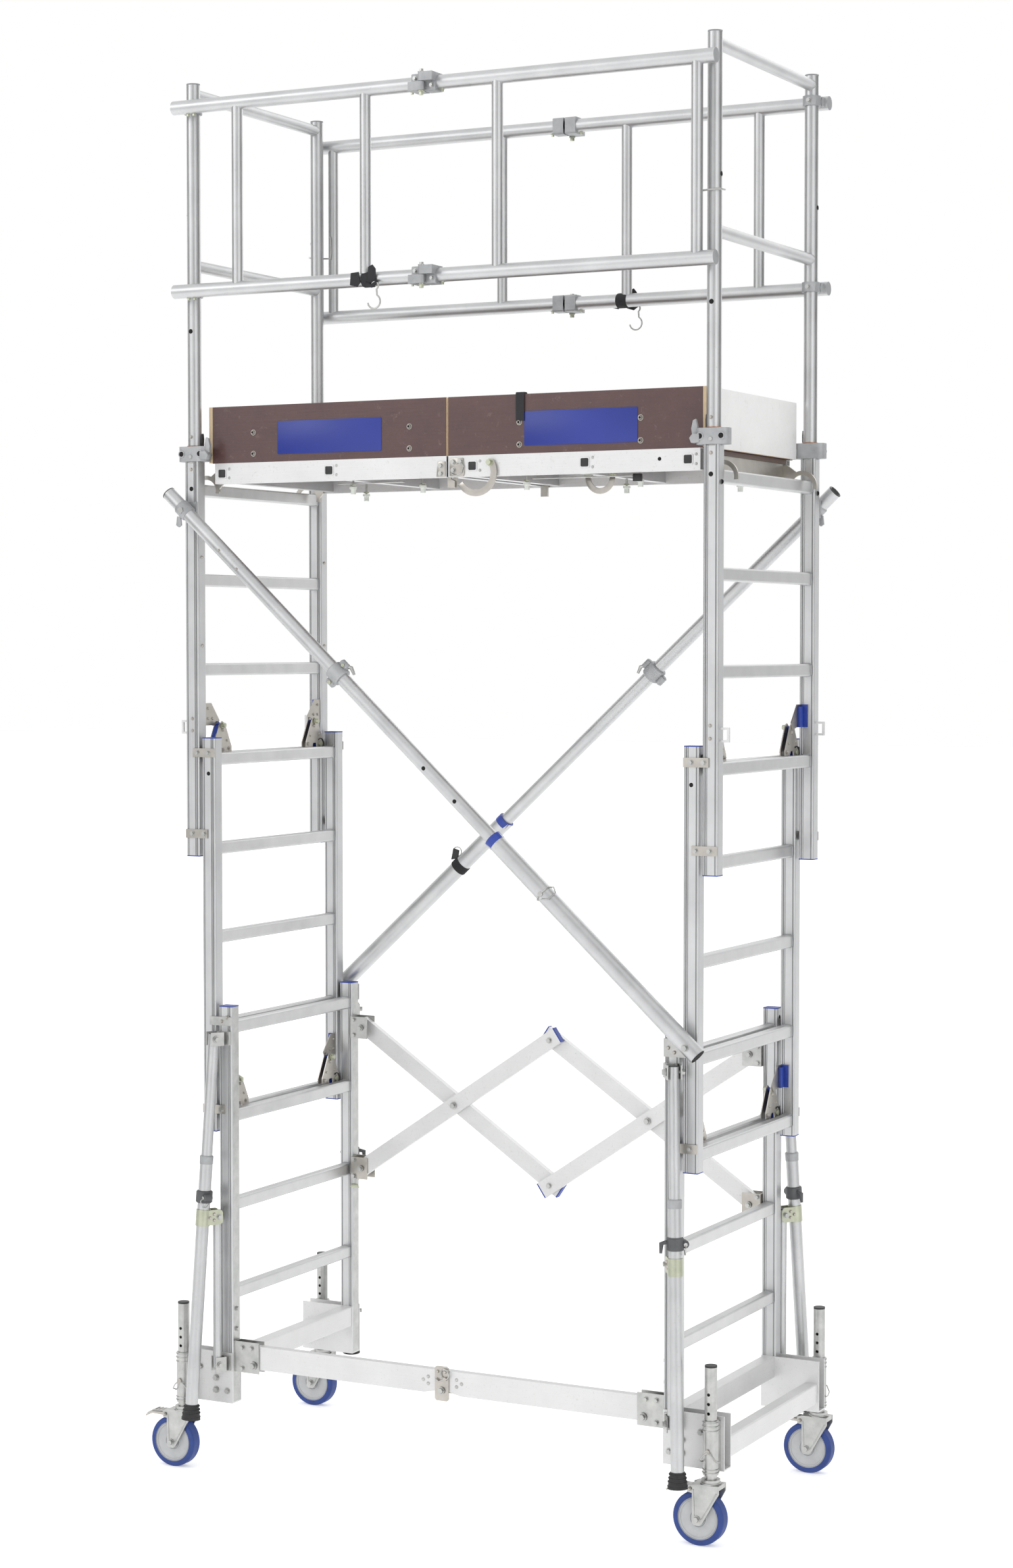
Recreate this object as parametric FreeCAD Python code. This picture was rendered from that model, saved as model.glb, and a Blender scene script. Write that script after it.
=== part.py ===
"""Mobile aluminium tower scaffold: two telescopic ladder ends, a folding deck, guards and legs.

Frame: X runs along the tower, left end to right end; Y runs front (-) to back (+); Z is up.
The floor is Z = 0. All sizes are millimetres.
"""
import FreeCAD, Part
import math
import os

V = FreeCAD.Vector
LEFT, RIGHT = -1, 1
FRONT, BACK = -1, 1
END_NAMES = {LEFT: "left", RIGHT: "right"}
FACE_NAMES = {FRONT: "front", BACK: "back"}

# ---------------------------------------------------------------- driving dimensions
TOTAL_HEIGHT = 4080.0        # top of the guard post caps
SHIFT_X = 37.65              # moves the whole tower so that its box is centred on X = 0

# ladder ends: three sections side by side, the base innermost and the top outermost
STILE_Y = 350.0              # stile centre lines, front and back
STILE_WIDE = 45.0            # along X
STILE_DEEP = 40.0            # along Y
STILE_WALL = 2.5
STILE_CORNER = 4.0
SECTION_X = {"base": 720.0, "mid": 775.0, "top": 830.0}
SECTION_Z = {"base": (204.0, 1377.0), "mid": (1008.0, 2167.0), "top": (1821.0, 2980.0)}
RUNG_PITCH = 263.5
FIRST_RUNG_Z = 525.0
RUNG_TALL = 36.0
RUNG_DEEP = 30.0
RUNG_WALL = 2.0
RUNG_NUMBERS = {"base": range(0, 4), "mid": range(2, 7), "top": range(6, 10)}
LATCH_RUNG = {"mid": 2, "top": 6}
CAP_THICK = 3.0
CLIP_PLATE = 4.0             # guide clip thickness, of which the last millimetre is a gap
CLIP_GAP = 1.0
CLIP_TALL = 26.0
CLIP_REACH = 20.0            # how far a clip reaches over its neighbour's face

# base: gusset channels, sockets and cross beams
GUSSET_X = (698.0, 880.0)
GUSSET_Z = (200.0, 350.0)
GUSSET_PLATE = 4.0
SOCKET_X = 852.0
SOCKET_Y = 400.0
SOCKET_RADIUS = 21.5
SOCKET_Z = (196.0, 345.0)
STEM_RADIUS = 17.0
FIT = 0.05                   # radial clearance of every pin and sliding fit

# castors
STEM_Z = (184.0, 490.0)
STEM_CAP_TOP = 495.0
STEM_HOLES = 6
STEM_HOLE_TOP = 417.0
STEM_HOLE_PITCH = 26.0
WHEEL_RADIUS = 75.0
TYRE_INNER = 59.0
TYRE_WIDE = 38.0
CASTOR_TRAIL = 30.0
AXLE_RADIUS = 6.0
BLADE_INSIDE = 22.0
BLADE_THICK = 5.0
PEDAL_PIVOT = (-50.0, 157.0)

# stabiliser legs: each leans outwards in its own vertical plane
LEG_TOP = (739.0, 402.0, 1300.0)
LEG_FOOT = (784.0, 467.0, 165.0)
LEG_PIVOT_DROP = 14.0
LEG_INNER_RADIUS = 16.0
LEG_OUTER_RADIUS = 18.5
LEG_STEP_Z = 940.0
LEG_INNER_END_Z = 560.0
FOOT_TALL = 45.0
STRUT_RADIUS = 13.0
STRUT_Z = (310.0, 775.0)
STRUT_PIVOT_Z = 320.0
STRUT_INSET = 7.0

# front folding bar
BAR_PIVOT_X = 632.0
BAR_PIVOT_Z = 318.0
BAR_Y = (-357.0, -333.0)
BAR_Z = (306.0, 375.0)
BAR_END = 16.0
BAR_WALL = 2.0
PIN_RADIUS = 6.0

# back scissor bars
SCISSOR_X = 660.0
SCISSOR_TOP_Z = 1240.0
SCISSOR_LOW_Z = 795.0
SCISSOR_WIDE = 50.0
SCISSOR_FRONT = (322.0, 342.0)
SCISSOR_BACK = (345.0, 365.0)
SCISSOR_OUTER_END = 18.0
SCISSOR_INNER_END = 30.0

# diagonal braces
BRACE_Y = -405.0
BRACE_TOP = (-885.0, 2886.0)
BRACE_FOOT = (812.0, 1332.0)
BRACE_COLLAR_X = 203.0
BRACE_INNER_RADIUS = 20.0
BRACE_OUTER_RADIUS = 25.0
BRACE_WALL = 2.0
BRACE_CLAMP_X = -311.0

# deck
DECK_PIVOT_Z = FIRST_RUNG_Z + 9 * RUNG_PITCH
DECK_Y = 322.0
DECK_X = (3.0, 778.0)
DECK_Z = (2915.0, 2975.0)
RAIL_WIDE = 25.0
DECK_PANEL = 12.0
TOE_TOP = 3140.0
TOE_THICK = 12.0
HATCH_X = (170.0, 720.0)
HATCH_Y = 258.0
HATCH_GAP = 2.0
CLAW_BORE = 34.0
CLAW_RADIUS = 46.0
CLAW_Y = 288.0
MEMBER_X = (15.0, 365.0, 742.0)

# guards
POST_RADIUS = 20.0
POST_BORE = 17.5
POST_CAP = 4.0
CROSS_RAIL_RADIUS = 17.0
CROSS_RAIL_Z = (3552.0, 4050.0)
GUARD_Y = -400.0
GUARD_RAIL_Z = (3473.0, 4005.0)
GUARD_LEFT_END = -860.0
GUARD_RIGHT_END = 850.0
GUARD_FOLD = (-20.0, -436.0)
GUARD_UPRIGHT_RADIUS = 16.0
GUARD_UPRIGHT_X = {"left": (-647.0, -220.0), "right": (200.0, 800.0)}
CLAMP_HALF_X = 47.0
CLAMP_HALF_Y = 24.0
CLAMP_TALL = 44.0


# ---------------------------------------------------------------- small shape makers
def block(x0, x1, y0, y1, z0, z1):
    """A box between two corners, given in any order."""
    corner = V(min(x0, x1), min(y0, y1), min(z0, z1))
    return Part.makeBox(abs(x1 - x0), abs(y1 - y0), abs(z1 - z0), corner)


def rounded(shape, radius, along):
    """The shape with the straight edges that run along one axis rounded."""
    edges = [e for e in shape.Edges if abs(abs(e.tangentAt(e.FirstParameter).dot(along)) - 1) < 1e-6]
    return shape.makeFillet(radius, edges)


def rod(start, end, radius):
    return Part.makeCylinder(radius, (end - start).Length, start, end - start)


def pipe(start, end, radius, bore):
    return rod(start, end, radius).cut(rod(start, end, bore))


def y_rod(x, z, y0, y1, radius):
    return rod(V(x, min(y0, y1), z), V(x, max(y0, y1), z), radius)


def z_rod(x, y, z0, z1, radius):
    return rod(V(x, y, z0), V(x, y, z1), radius)


def xz_plate(points, y0, y1):
    """A flat outline in the X-Z plane given thickness along Y."""
    outline = Part.makePolygon([V(x, min(y0, y1), z) for x, z in points + points[:1]])
    return Part.Face(outline).extrude(V(0, abs(y1 - y0), 0))


def yz_plate(points, x0, x1):
    """A flat outline in the Y-Z plane given thickness along X."""
    outline = Part.makePolygon([V(min(x0, x1), y, z) for y, z in points + points[:1]])
    return Part.Face(outline).extrude(V(abs(x1 - x0), 0, 0))


def fuse(first, *others):
    shape = first
    for other in others:
        shape = shape.fuse(other)
    return shape.removeSplitter()


def half_turn(shape):
    """The shape turned 180 degrees about the tower's vertical middle line."""
    turned = shape.copy()
    turned.rotate(V(0, 0, 0), V(0, 0, 1), 180)
    return turned


def channel_tube(x, y0, y1, z_mid, deep, tall, wall, corner):
    """A rectangular tube along Y."""
    along = V(0, 1, 0)
    outer = rounded(block(x - deep / 2, x + deep / 2, y0, y1, z_mid - tall / 2, z_mid + tall / 2), corner, along)
    inside = block(x - deep / 2 + wall, x + deep / 2 - wall, y0, y1, z_mid - tall / 2 + wall, z_mid + tall / 2 - wall)
    return outer.cut(inside)


def sloping_tube(start, end, before, after, width, y_range, wall):
    """A rectangular tube in the X-Z plane that runs past both given points."""
    run = math.hypot(end[0] - start[0], end[1] - start[1])
    angle = math.degrees(math.atan2(end[1] - start[1], end[0] - start[0]))
    y0, y1 = y_range
    outer = block(-before, run + after, y0, y1, -width / 2, width / 2)
    inside = block(-before, run + after, y0 + wall, y1 - wall, -width / 2 + wall, width / 2 - wall)
    tube = outer.cut(inside)
    tube.rotate(V(0, 0, 0), V(0, 1, 0), -angle)
    tube.translate(V(start[0], 0, start[1]))
    return tube


def rung_z(number):
    return FIRST_RUNG_Z + number * RUNG_PITCH


def lean(end, face):
    """The outward direction, seen from above, in which a corner's leg leans."""
    return V(end * (LEG_FOOT[0] - LEG_TOP[0]), face * (LEG_FOOT[1] - LEG_TOP[1]), 0).normalize()


def place_at_corner(shape, end, face, x, y, z):
    """Turn a shape built with +X as its outward lean direction, and set it at a corner."""
    direction = lean(end, face)
    shape.rotate(V(0, 0, 0), V(0, 0, 1), math.degrees(math.atan2(direction.y, direction.x)))
    shape.translate(V(end * x, face * y, z))
    return shape


# ---------------------------------------------------------------- ladder ends
def stile(end, face, section):
    """One rounded rectangular tube."""
    x = end * SECTION_X[section]
    y = face * STILE_Y
    z0, z1 = SECTION_Z[section]
    half_x, half_y = STILE_WIDE / 2, STILE_DEEP / 2
    outer = rounded(block(x - half_x, x + half_x, y - half_y, y + half_y, z0, z1), STILE_CORNER, V(0, 0, 1))
    half_x, half_y = half_x - STILE_WALL, half_y - STILE_WALL
    return outer.cut(block(x - half_x, x + half_x, y - half_y, y + half_y, z0, z1))


def stile_cap(end, face, section, z0):
    """A plastic plate that closes a stile's end."""
    x = end * SECTION_X[section]
    y = face * STILE_Y
    half_x, half_y = STILE_WIDE / 2, STILE_DEEP / 2
    return rounded(block(x - half_x, x + half_x, y - half_y, y + half_y, z0, z0 + CAP_THICK), 3.0, V(0, 0, 1))


def rungs(end, section):
    reach = STILE_Y - STILE_DEEP / 2
    x = end * SECTION_X[section]
    return [channel_tube(x, -reach, reach, rung_z(n), RUNG_DEEP, RUNG_TALL, RUNG_WALL, 5.0)
            for n in RUNG_NUMBERS[section]]


def guide_clip(end, face, own, neighbour, z, tall=CLIP_TALL, extra=0.0):
    """A plate on one stile's outer face that reaches over the next stile and keeps it alongside."""
    own_x, other_x = SECTION_X[own], SECTION_X[neighbour]
    half = STILE_WIDE / 2
    toward = 1 if other_x > own_x else -1
    skin = STILE_Y + STILE_DEEP / 2
    foot = block(end * (own_x - toward * half), end * (own_x + toward * half),
                 face * skin, face * (skin + CLIP_PLATE + extra), z, z + tall)
    tip = other_x - toward * (half - CLIP_REACH)
    reach = block(end * (own_x + toward * half), end * tip,
                  face * (skin + CLIP_GAP), face * (skin + CLIP_PLATE + extra), z, z + tall)
    return fuse(foot, reach)


def clevis(end, face, x, y, z, cheek_gap, cheek_thick, back, reach, tall, pin_radius):
    """Two cheeks and a pin that hold a leaning tube; the tube swings in its lean plane."""
    cheeks = [block(-back, reach, side * cheek_gap, side * (cheek_gap + cheek_thick), -tall / 2, tall / 2)
              for side in (-1, 1)]
    outer = cheek_gap + cheek_thick
    web = block(-back - cheek_thick, -back, -outer, outer, -tall / 2, tall / 2)
    pin = rod(V(0, -outer - 2, 0), V(0, outer + 2, 0), pin_radius)
    return place_at_corner(fuse(web, pin, *cheeks), end, face, x, y, z)


def leg_bracket(end, face):
    """The clevis at a leg's top and the foot that carries it on the base stile."""
    skin = STILE_Y + STILE_DEEP / 2
    drop = LEG_PIVOT_DROP / (LEG_TOP[2] - LEG_FOOT[2])
    x = LEG_TOP[0] + drop * (LEG_FOOT[0] - LEG_TOP[0])
    y = LEG_TOP[1] + drop * (LEG_FOOT[1] - LEG_TOP[1])
    z = LEG_TOP[2] - LEG_PIVOT_DROP
    fork = clevis(end, face, x, y, z, 17.0, 3.5, 21.0, 16.0, 40.0, 5.0)
    foot = block(end * 700, end * 742, face * skin, face * (skin + 13), z - 20, z + 20)
    return fuse(fork, foot).cut(block(end * 600, end * 900, 0, face * skin, z - 60, z + 60))


def strut_bracket(end, face):
    direction = lean(end, face)
    x = LEG_TOP[0] - STRUT_INSET * abs(direction.x)
    y = LEG_TOP[1] - STRUT_INSET * abs(direction.y)
    fork = clevis(end, face, x, y, STRUT_PIVOT_Z, 14.0, 3.0, 18.0, 13.0, 44.0, 4.0)
    skin = STILE_Y + STILE_DEEP / 2 + GUSSET_PLATE
    z0, z1 = STRUT_PIVOT_Z - 22, STRUT_PIVOT_Z + 22
    foot = block(end * 702, end * 738, face * skin, face * (skin + 6), z0, z1)
    return fuse(fork, foot).cut(block(end * 600, end * 900, 0, face * skin, z0 - 30, z1 + 30))


def gusset(end, face):
    """The channel that joins the base stile's foot to the castor socket."""
    x0, x1 = end * GUSSET_X[0], end * GUSSET_X[1]
    inner, outer = STILE_Y - STILE_DEEP / 2, STILE_Y + STILE_DEEP / 2
    z0, z1 = GUSSET_Z
    floor = block(x0, x1, face * (inner - GUSSET_PLATE), face * (outer + GUSSET_PLATE), z0, z0 + GUSSET_PLATE)
    inside = block(x0, x1, face * (inner - GUSSET_PLATE), face * inner, z0, z1)
    outside = block(x0, x1, face * outer, face * (outer + GUSSET_PLATE), z0, z1)
    return fuse(floor, inside, outside)


def socket(end, face):
    """The tube that holds a castor stem, with the saddle that welds it to the gusset."""
    x, y = end * SOCKET_X, face * SOCKET_Y
    body = z_rod(x, y, SOCKET_Z[0], SOCKET_Z[1], SOCKET_RADIUS)
    web = STILE_Y + STILE_DEEP / 2 + GUSSET_PLATE
    saddle = block(x - 18, x + 18, face * web, face * (web + 14), SOCKET_Z[0] + 12, SOCKET_Z[1] - 5)
    bore = z_rod(x, y, SOCKET_Z[0] - 1, SOCKET_Z[1] + 1, STEM_RADIUS + FIT)
    return fuse(body, saddle).cut(bore)


def bar_bracket(end):
    """The cheeks and pin that hold the folding bar at a front base stile."""
    wall = SECTION_X["base"] - STILE_WIDE / 2
    z0, z1 = BAR_Z[0] - 12, BAR_Z[1] + 10
    near, far = BAR_Y[0] - 1, BAR_Y[1] + 1
    web = block(end * wall, end * (wall - 3), near - 4, far + 4, z0, z1)
    cheeks = [block(end * wall, end * (BAR_PIVOT_X - 18), y, y + 4, z0, z1) for y in (near - 4, far)]
    pin = y_rod(end * BAR_PIVOT_X, BAR_PIVOT_Z, near - 7, far + 7, PIN_RADIUS)
    return fuse(web, pin, *cheeks)


def scissor_bracket(end, z, pinned):
    """Cheeks on a back base stile around a scissor bar; a sliding one carries only bolt heads."""
    wall = SECTION_X["base"] - STILE_WIDE / 2
    start = wall if pinned else wall - 0.5
    near, far = SCISSOR_FRONT[0] - 1, SCISSOR_BACK[1] + 1
    web = block(end * start, end * (start - 3), near - 3, far + 3, z - 34, z + 34)
    cheeks = [block(end * start, end * (SCISSOR_X - 22), y, y + 3, z - 34, z + 34) for y in (near - 3, far)]
    heads = [y_rod(end * SCISSOR_X, z, y, y + 5, 8.0) for y in (near - 8, far + 3)]
    shape = fuse(web, *cheeks, *heads)
    if pinned:
        shape = fuse(shape, y_rod(end * SCISSOR_X, z, near - 3, far + 3, PIN_RADIUS))
    return shape


def latch_outline(face):
    """The triangle of a rung latch beside a stile, apex at its pivot."""
    edge = STILE_Y - STILE_DEEP / 2 - 3
    points = [(edge - 8, -22), (edge, 0), (edge, 12), (edge - 44, 92), (edge - 62, 104), (edge - 76, 96),
              (edge - 112, 28), (edge - 112, 12), (edge - 78, 10), (edge - 70, 24), (edge - 50, 24), (edge - 42, -8)]
    return [(face * y, z) for y, z in points]


def latch_centre_x(section):
    lower = {"mid": "base", "top": "mid"}[section]
    return (SECTION_X[section] + SECTION_X[lower]) / 2


def latch_body(end, face, section):
    """A rung latch: two triangular plates and a plastic edge strip between them."""
    x = end * latch_centre_x(section)
    base_z = rung_z(LATCH_RUNG[section]) + 6
    outline = [(y, base_z + z) for y, z in latch_outline(face)]
    plates = [yz_plate(outline, x + side * 6, x + side * 9) for side in (-1, 1)]
    edge = STILE_Y - STILE_DEEP / 2 - 3
    strip = yz_plate([(face * (edge - 1), base_z + 2), (face * (edge - 1), base_z + 11),
                      (face * (edge - 45), base_z + 91), (face * (edge - 53), base_z + 88),
                      (face * (edge - 10), base_z + 8)], x - 6, x + 6)
    return plates + [strip]


def latch_hanger(end, face, section):
    """The small plate and pad on a sliding stile from which the latch hangs."""
    x = end * latch_centre_x(section)
    own = SECTION_X[section] - RUNG_DEEP / 2
    z = rung_z(LATCH_RUNG[section]) + 98
    inner = STILE_Y - STILE_DEEP / 2
    pad = block(end * own, end * (own + 22), face * inner, face * (inner - 6), z, z + 66)
    plate = yz_plate([(face * (inner - 2), z), (face * (inner - 2), z + 66), (face * (inner - 34), z + 66),
                      (face * (inner - 78), z + 14), (face * (inner - 66), z - 6), (face * (inner - 36), z)],
                     end * own, end * (own - 3))
    pivot = rod(V(x - 11, face * (inner - 62), z), V(x + 11, face * (inner - 62), z), 4.0)
    return fuse(pad, plate, pivot)


def latch_pivot(face, section):
    inner = STILE_Y - STILE_DEEP / 2
    return face * (inner - 62), rung_z(LATCH_RUNG[section]) + 98


def base_frame(end):
    reach = STILE_Y - STILE_DEEP / 2 - GUSSET_PLATE
    solids = []
    for face in (FRONT, BACK):
        braced = end * face == -1
        solids += [stile(end, face, "base"), stile_cap(end, face, "base", SECTION_Z["base"][1])]
        solids += [gusset(end, face), socket(end, face), leg_bracket(end, face), strut_bracket(end, face)]
        solids.append(guide_clip(end, face, "base", "mid", 1322.0, 50.0 if braced else CLIP_TALL,
                                 1.5 if braced else 0.0))
    solids += rungs(end, "base")
    solids.append(channel_tube(end * SECTION_X["base"], -reach, reach, 318.0, 40.0, 62.0, 2.5, 4.0))
    solids.append(channel_tube(end * 855.0, -reach, reach, 255.0, 40.0, 60.0, 2.5, 4.0))
    solids.append(bar_bracket(end))
    solids.append(scissor_bracket(end, SCISSOR_TOP_Z, True))
    return solids


def sliding_frame(end, section):
    """The middle or top section of one ladder end."""
    z0, z1 = SECTION_Z[section]
    lower = {"mid": "base", "top": "mid"}[section]
    solids = []
    for face in (FRONT, BACK):
        solids += [stile(end, face, section), stile_cap(end, face, section, z0 - CAP_THICK)]
        solids.append(guide_clip(end, face, section, lower, z0 + 52))
        if section == "mid":
            solids.append(stile_cap(end, face, section, z1))
            solids.append(guide_clip(end, face, "mid", "top", z1 - 55))
        solids.append(latch_hanger(end, face, section))
    solids += rungs(end, section)
    bored = latch_body(end, FRONT, section)
    y, z = latch_pivot(FRONT, section)
    x = end * latch_centre_x(section)
    solids += [piece.cut(rod(V(x - 12, y, z), V(x + 12, y, z), 4.0)) for piece in bored]
    if section == "top":
        skin = STILE_Y + STILE_DEEP / 2
        face = FRONT if end == LEFT else BACK
        pivot_x, pivot_z = brace_pivot()
        coupler = block(end * 808, end * 852, face * skin, face * (skin + 9), pivot_z - 26, pivot_z + 26)
        pin = y_rod(end * abs(pivot_x), pivot_z, face * skin, face * (abs(BRACE_Y) - 12), PIN_RADIUS)
        solids.append(fuse(coupler, pin))
        for face in (FRONT, BACK):
            outside = end * (SECTION_X["top"] + STILE_WIDE / 2)
            solids.append(fuse(block(outside, outside + end * 26, face * 346, face * 354, 2180, 2186),
                               block(outside, outside + end * 26, face * 346, face * 354, 2214, 2220),
                               block(outside + end * 20, outside + end * 26, face * 346, face * 354, 2180, 2220)))
    return solids


def latch(end, section):
    """The latch that swings at the back stile of a sliding section."""
    y, z = latch_pivot(BACK, section)
    x = end * latch_centre_x(section)
    hole = rod(V(x - 12, y, z), V(x + 12, y, z), 4.0 + FIT)
    return [piece.cut(hole) for piece in latch_body(end, BACK, section)]


# ---------------------------------------------------------------- folding bar and scissors
def fold_bar(end):
    """One half of the front bar; its lower corner at the middle is cut so that the halves close."""
    y0, y1 = BAR_Y
    z0, z1 = BAR_Z
    outer = block(end * (BAR_PIVOT_X + BAR_END), end * 2, y0, y1, z0, z1)
    inside = block(end * (BAR_PIVOT_X + BAR_END), end * 2, y0 + BAR_WALL, y1 - BAR_WALL, z0 + BAR_WALL, z1 - BAR_WALL)
    notch = xz_plate([(end * 60, z0 - 1), (end * 60, z0), (end * 1, BAR_PIVOT_Z + 0.5), (end * 1, z0 - 1)], y0 - 1, y1 + 1)
    bar = outer.cut(inside).cut(notch).cut(y_rod(end * BAR_PIVOT_X, BAR_PIVOT_Z, y0 - 1, y1 + 1, PIN_RADIUS + FIT))
    if end == LEFT:
        plate = rounded(block(-22, 22, y0 - 4.5, y0 - 0.5, z0 - 18, z1 + 12), 8.0, V(0, 1, 0))
        spacer = block(-22, -2, y0 - 0.5, y0, BAR_PIVOT_Z + 2, z1)
        pin = y_rod(0, BAR_PIVOT_Z, y0 - 7, y1 - 6, PIN_RADIUS)
        return [fuse(bar, spacer, plate, pin)]
    tongue = block(0, 48, y0 + 6, y0 + 14, BAR_PIVOT_Z - 8, BAR_PIVOT_Z + 13)
    eye = y_rod(0, BAR_PIVOT_Z, y0 + 6, y0 + 14, 12.0)
    root = block(36, 56, y0 + 1, y1 - 1, BAR_PIVOT_Z - 8, BAR_PIVOT_Z + 16)
    bore = y_rod(0, BAR_PIVOT_Z, y0 - 1, y1 + 1, PIN_RADIUS + FIT)
    return [fuse(bar, tongue, eye, root).cut(bore)]


def scissor_point(end, name):
    """A pivot of the scissor linkage, as (x, z)."""
    points = {"upper": (SCISSOR_X, SCISSOR_TOP_Z), "lower": (SCISSOR_X, SCISSOR_LOW_Z),
              "cross": (SCISSOR_X / 2, (SCISSOR_TOP_Z + SCISSOR_LOW_Z) / 2),
              "top": (0.0, SCISSOR_TOP_Z), "bottom": (0.0, SCISSOR_LOW_Z)}
    x, z = points[name]
    return end * x, z


def scissor_bar(end, outer_name, inner_name, y_range):
    """A scissor bar from a bracket to the middle of the tower, with a plastic cap at its inner end."""
    start, finish = scissor_point(end, outer_name), scissor_point(end, inner_name)
    bar = sloping_tube(start, finish, SCISSOR_OUTER_END, SCISSOR_INNER_END, SCISSOR_WIDE, y_range, 2.0)
    y0, y1 = y_range
    run = math.hypot(finish[0] - start[0], finish[1] - start[1])
    cap = block(run + SCISSOR_INNER_END, run + SCISSOR_INNER_END + 4, y0, y1, -SCISSOR_WIDE / 2, SCISSOR_WIDE / 2)
    cap.rotate(V(0, 0, 0), V(0, 1, 0), -math.degrees(math.atan2(finish[1] - start[1], finish[0] - start[0])))
    cap.translate(V(start[0], 0, start[1]))
    return bar, cap


def scissor_pair(end):
    """The two crossed bars of one end: one falls from the fixed bracket, one rises from the slider."""
    falling_y = SCISSOR_BACK if end == LEFT else SCISSOR_FRONT
    rising_y = SCISSOR_FRONT if end == LEFT else SCISSOR_BACK
    falling, falling_cap = scissor_bar(end, "upper", "bottom", falling_y)
    rising, rising_cap = scissor_bar(end, "lower", "top", rising_y)
    y0, y1 = SCISSOR_FRONT[0] - 4, SCISSOR_BACK[1] + 4
    x, z = scissor_point(end, "upper")
    falling = falling.cut(y_rod(x, z, y0, y1, PIN_RADIUS + FIT))
    x, z = scissor_point(end, "cross")
    falling = fuse(falling, y_rod(x, z, y0, y1, PIN_RADIUS))
    rising = rising.cut(y_rod(x, z, y0, y1, PIN_RADIUS + FIT))
    return [falling, falling_cap], [rising, rising_cap]


# ---------------------------------------------------------------- braces
def brace_pivot():
    slope = (BRACE_FOOT[1] - BRACE_TOP[1]) / (BRACE_FOOT[0] - BRACE_TOP[0])
    x = -SECTION_X["top"]
    return x, BRACE_TOP[1] + slope * (x - BRACE_TOP[0])


def brace_direction():
    return V(BRACE_FOOT[0] - BRACE_TOP[0], 0, BRACE_FOOT[1] - BRACE_TOP[1]).normalize()


def brace_point(x):
    """The point of the brace's centre line at a given X."""
    slope = (BRACE_FOOT[1] - BRACE_TOP[1]) / (BRACE_FOOT[0] - BRACE_TOP[0])
    return V(x, BRACE_Y, BRACE_TOP[1] + slope * (x - BRACE_TOP[0]))


def brace_inner():
    """The upper tube, with its cap, its lever clamp and the bore for the coupler pin."""
    along = brace_direction()
    top = brace_point(BRACE_TOP[0])
    end = brace_point(BRACE_COLLAR_X) + along * 150
    tube = pipe(top, end, BRACE_INNER_RADIUS, BRACE_INNER_RADIUS - BRACE_WALL)
    x, z = brace_pivot()
    tube = tube.cut(y_rod(x, z, BRACE_Y - 30, BRACE_Y + 30, PIN_RADIUS + FIT))
    cap = rod(top - along * 3, top, BRACE_INNER_RADIUS)
    middle = brace_point(BRACE_CLAMP_X)
    ring = pipe(middle - along * 19, middle + along * 19, 27.0, BRACE_INNER_RADIUS)
    return [tube, cap, ring]


def brace_outer():
    """The lower tube, with the guide collar that runs on the upper tube."""
    along = brace_direction()
    mouth = brace_point(BRACE_COLLAR_X)
    foot = brace_point(BRACE_FOOT[0])
    tube = pipe(mouth, foot, BRACE_OUTER_RADIUS, BRACE_OUTER_RADIUS - BRACE_WALL)
    collar = pipe(mouth - along * 22, mouth, BRACE_OUTER_RADIUS + 1, BRACE_INNER_RADIUS + FIT)
    return [tube, collar]


# ---------------------------------------------------------------- deck
def claw(end, y):
    """A hook over the top rung, concentric with it so that the deck can swing on it."""
    x, z = end * SECTION_X["top"], DECK_PIVOT_Z
    ring = y_rod(x, z, y - 3, y + 3, CLAW_RADIUS).cut(y_rod(x, z, y - 4, y + 4, CLAW_BORE))
    below = block(x - 60, x + 60, y - 4, y + 4, z - 60, z - 8)
    arm = xz_plate([(end * 797, z - 8), (end * 772, z + 18), (end * 772, z + 62), (end * 786, z + 62),
                    (end * 815, z + 41)], y - 3, y + 3)
    arm = arm.cut(y_rod(x, z, y - 4, y + 4, CLAW_BORE))
    return fuse(ring.cut(below), arm)


def deck_half(end):
    """Side rails, cross members, plywood, toe boards, end board and claws of one half."""
    x0, x1 = end * DECK_X[0], end * DECK_X[1]
    z0, z1 = DECK_Z
    solids = []
    for face in (FRONT, BACK):
        outer = block(x0, x1, face * DECK_Y, face * (DECK_Y - RAIL_WIDE), z0, z1)
        inside = block(x0, x1, face * (DECK_Y - 2), face * (DECK_Y - RAIL_WIDE + 2), z0 + 2, z1 - 2)
        solids.append(outer.cut(inside))
        solids.append(block(x0, end * 786, face * DECK_Y, face * (DECK_Y - TOE_THICK), z1, TOE_TOP))
        solids.append(claw(end, face * CLAW_Y))
    reach = DECK_Y - RAIL_WIDE
    for x in MEMBER_X:
        outer = block(end * x, end * (x + 30), -reach, reach, z0 + 5, z1 - DECK_PANEL)
        solids.append(outer.cut(block(end * (x + 2), end * (x + 28), -reach, reach, z0 + 7, z1 - DECK_PANEL - 2)))
    solids.append(block(end * 786, end * 798, -DECK_Y, DECK_Y, z1 + 2, TOE_TOP))
    panel = block(x0, x1, -reach, reach, z1 - DECK_PANEL, z1)
    if end == RIGHT:
        g = HATCH_GAP
        opening = block(HATCH_X[0] - g, HATCH_X[1] + g, -HATCH_Y - g, HATCH_Y + g, z1 - DECK_PANEL - 1, z1 + 1)
        panel = panel.cut(opening)
    solids.append(panel)
    knuckle = deck_knuckle(end)
    return solids + [knuckle, mirrored_y(knuckle)]


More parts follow.
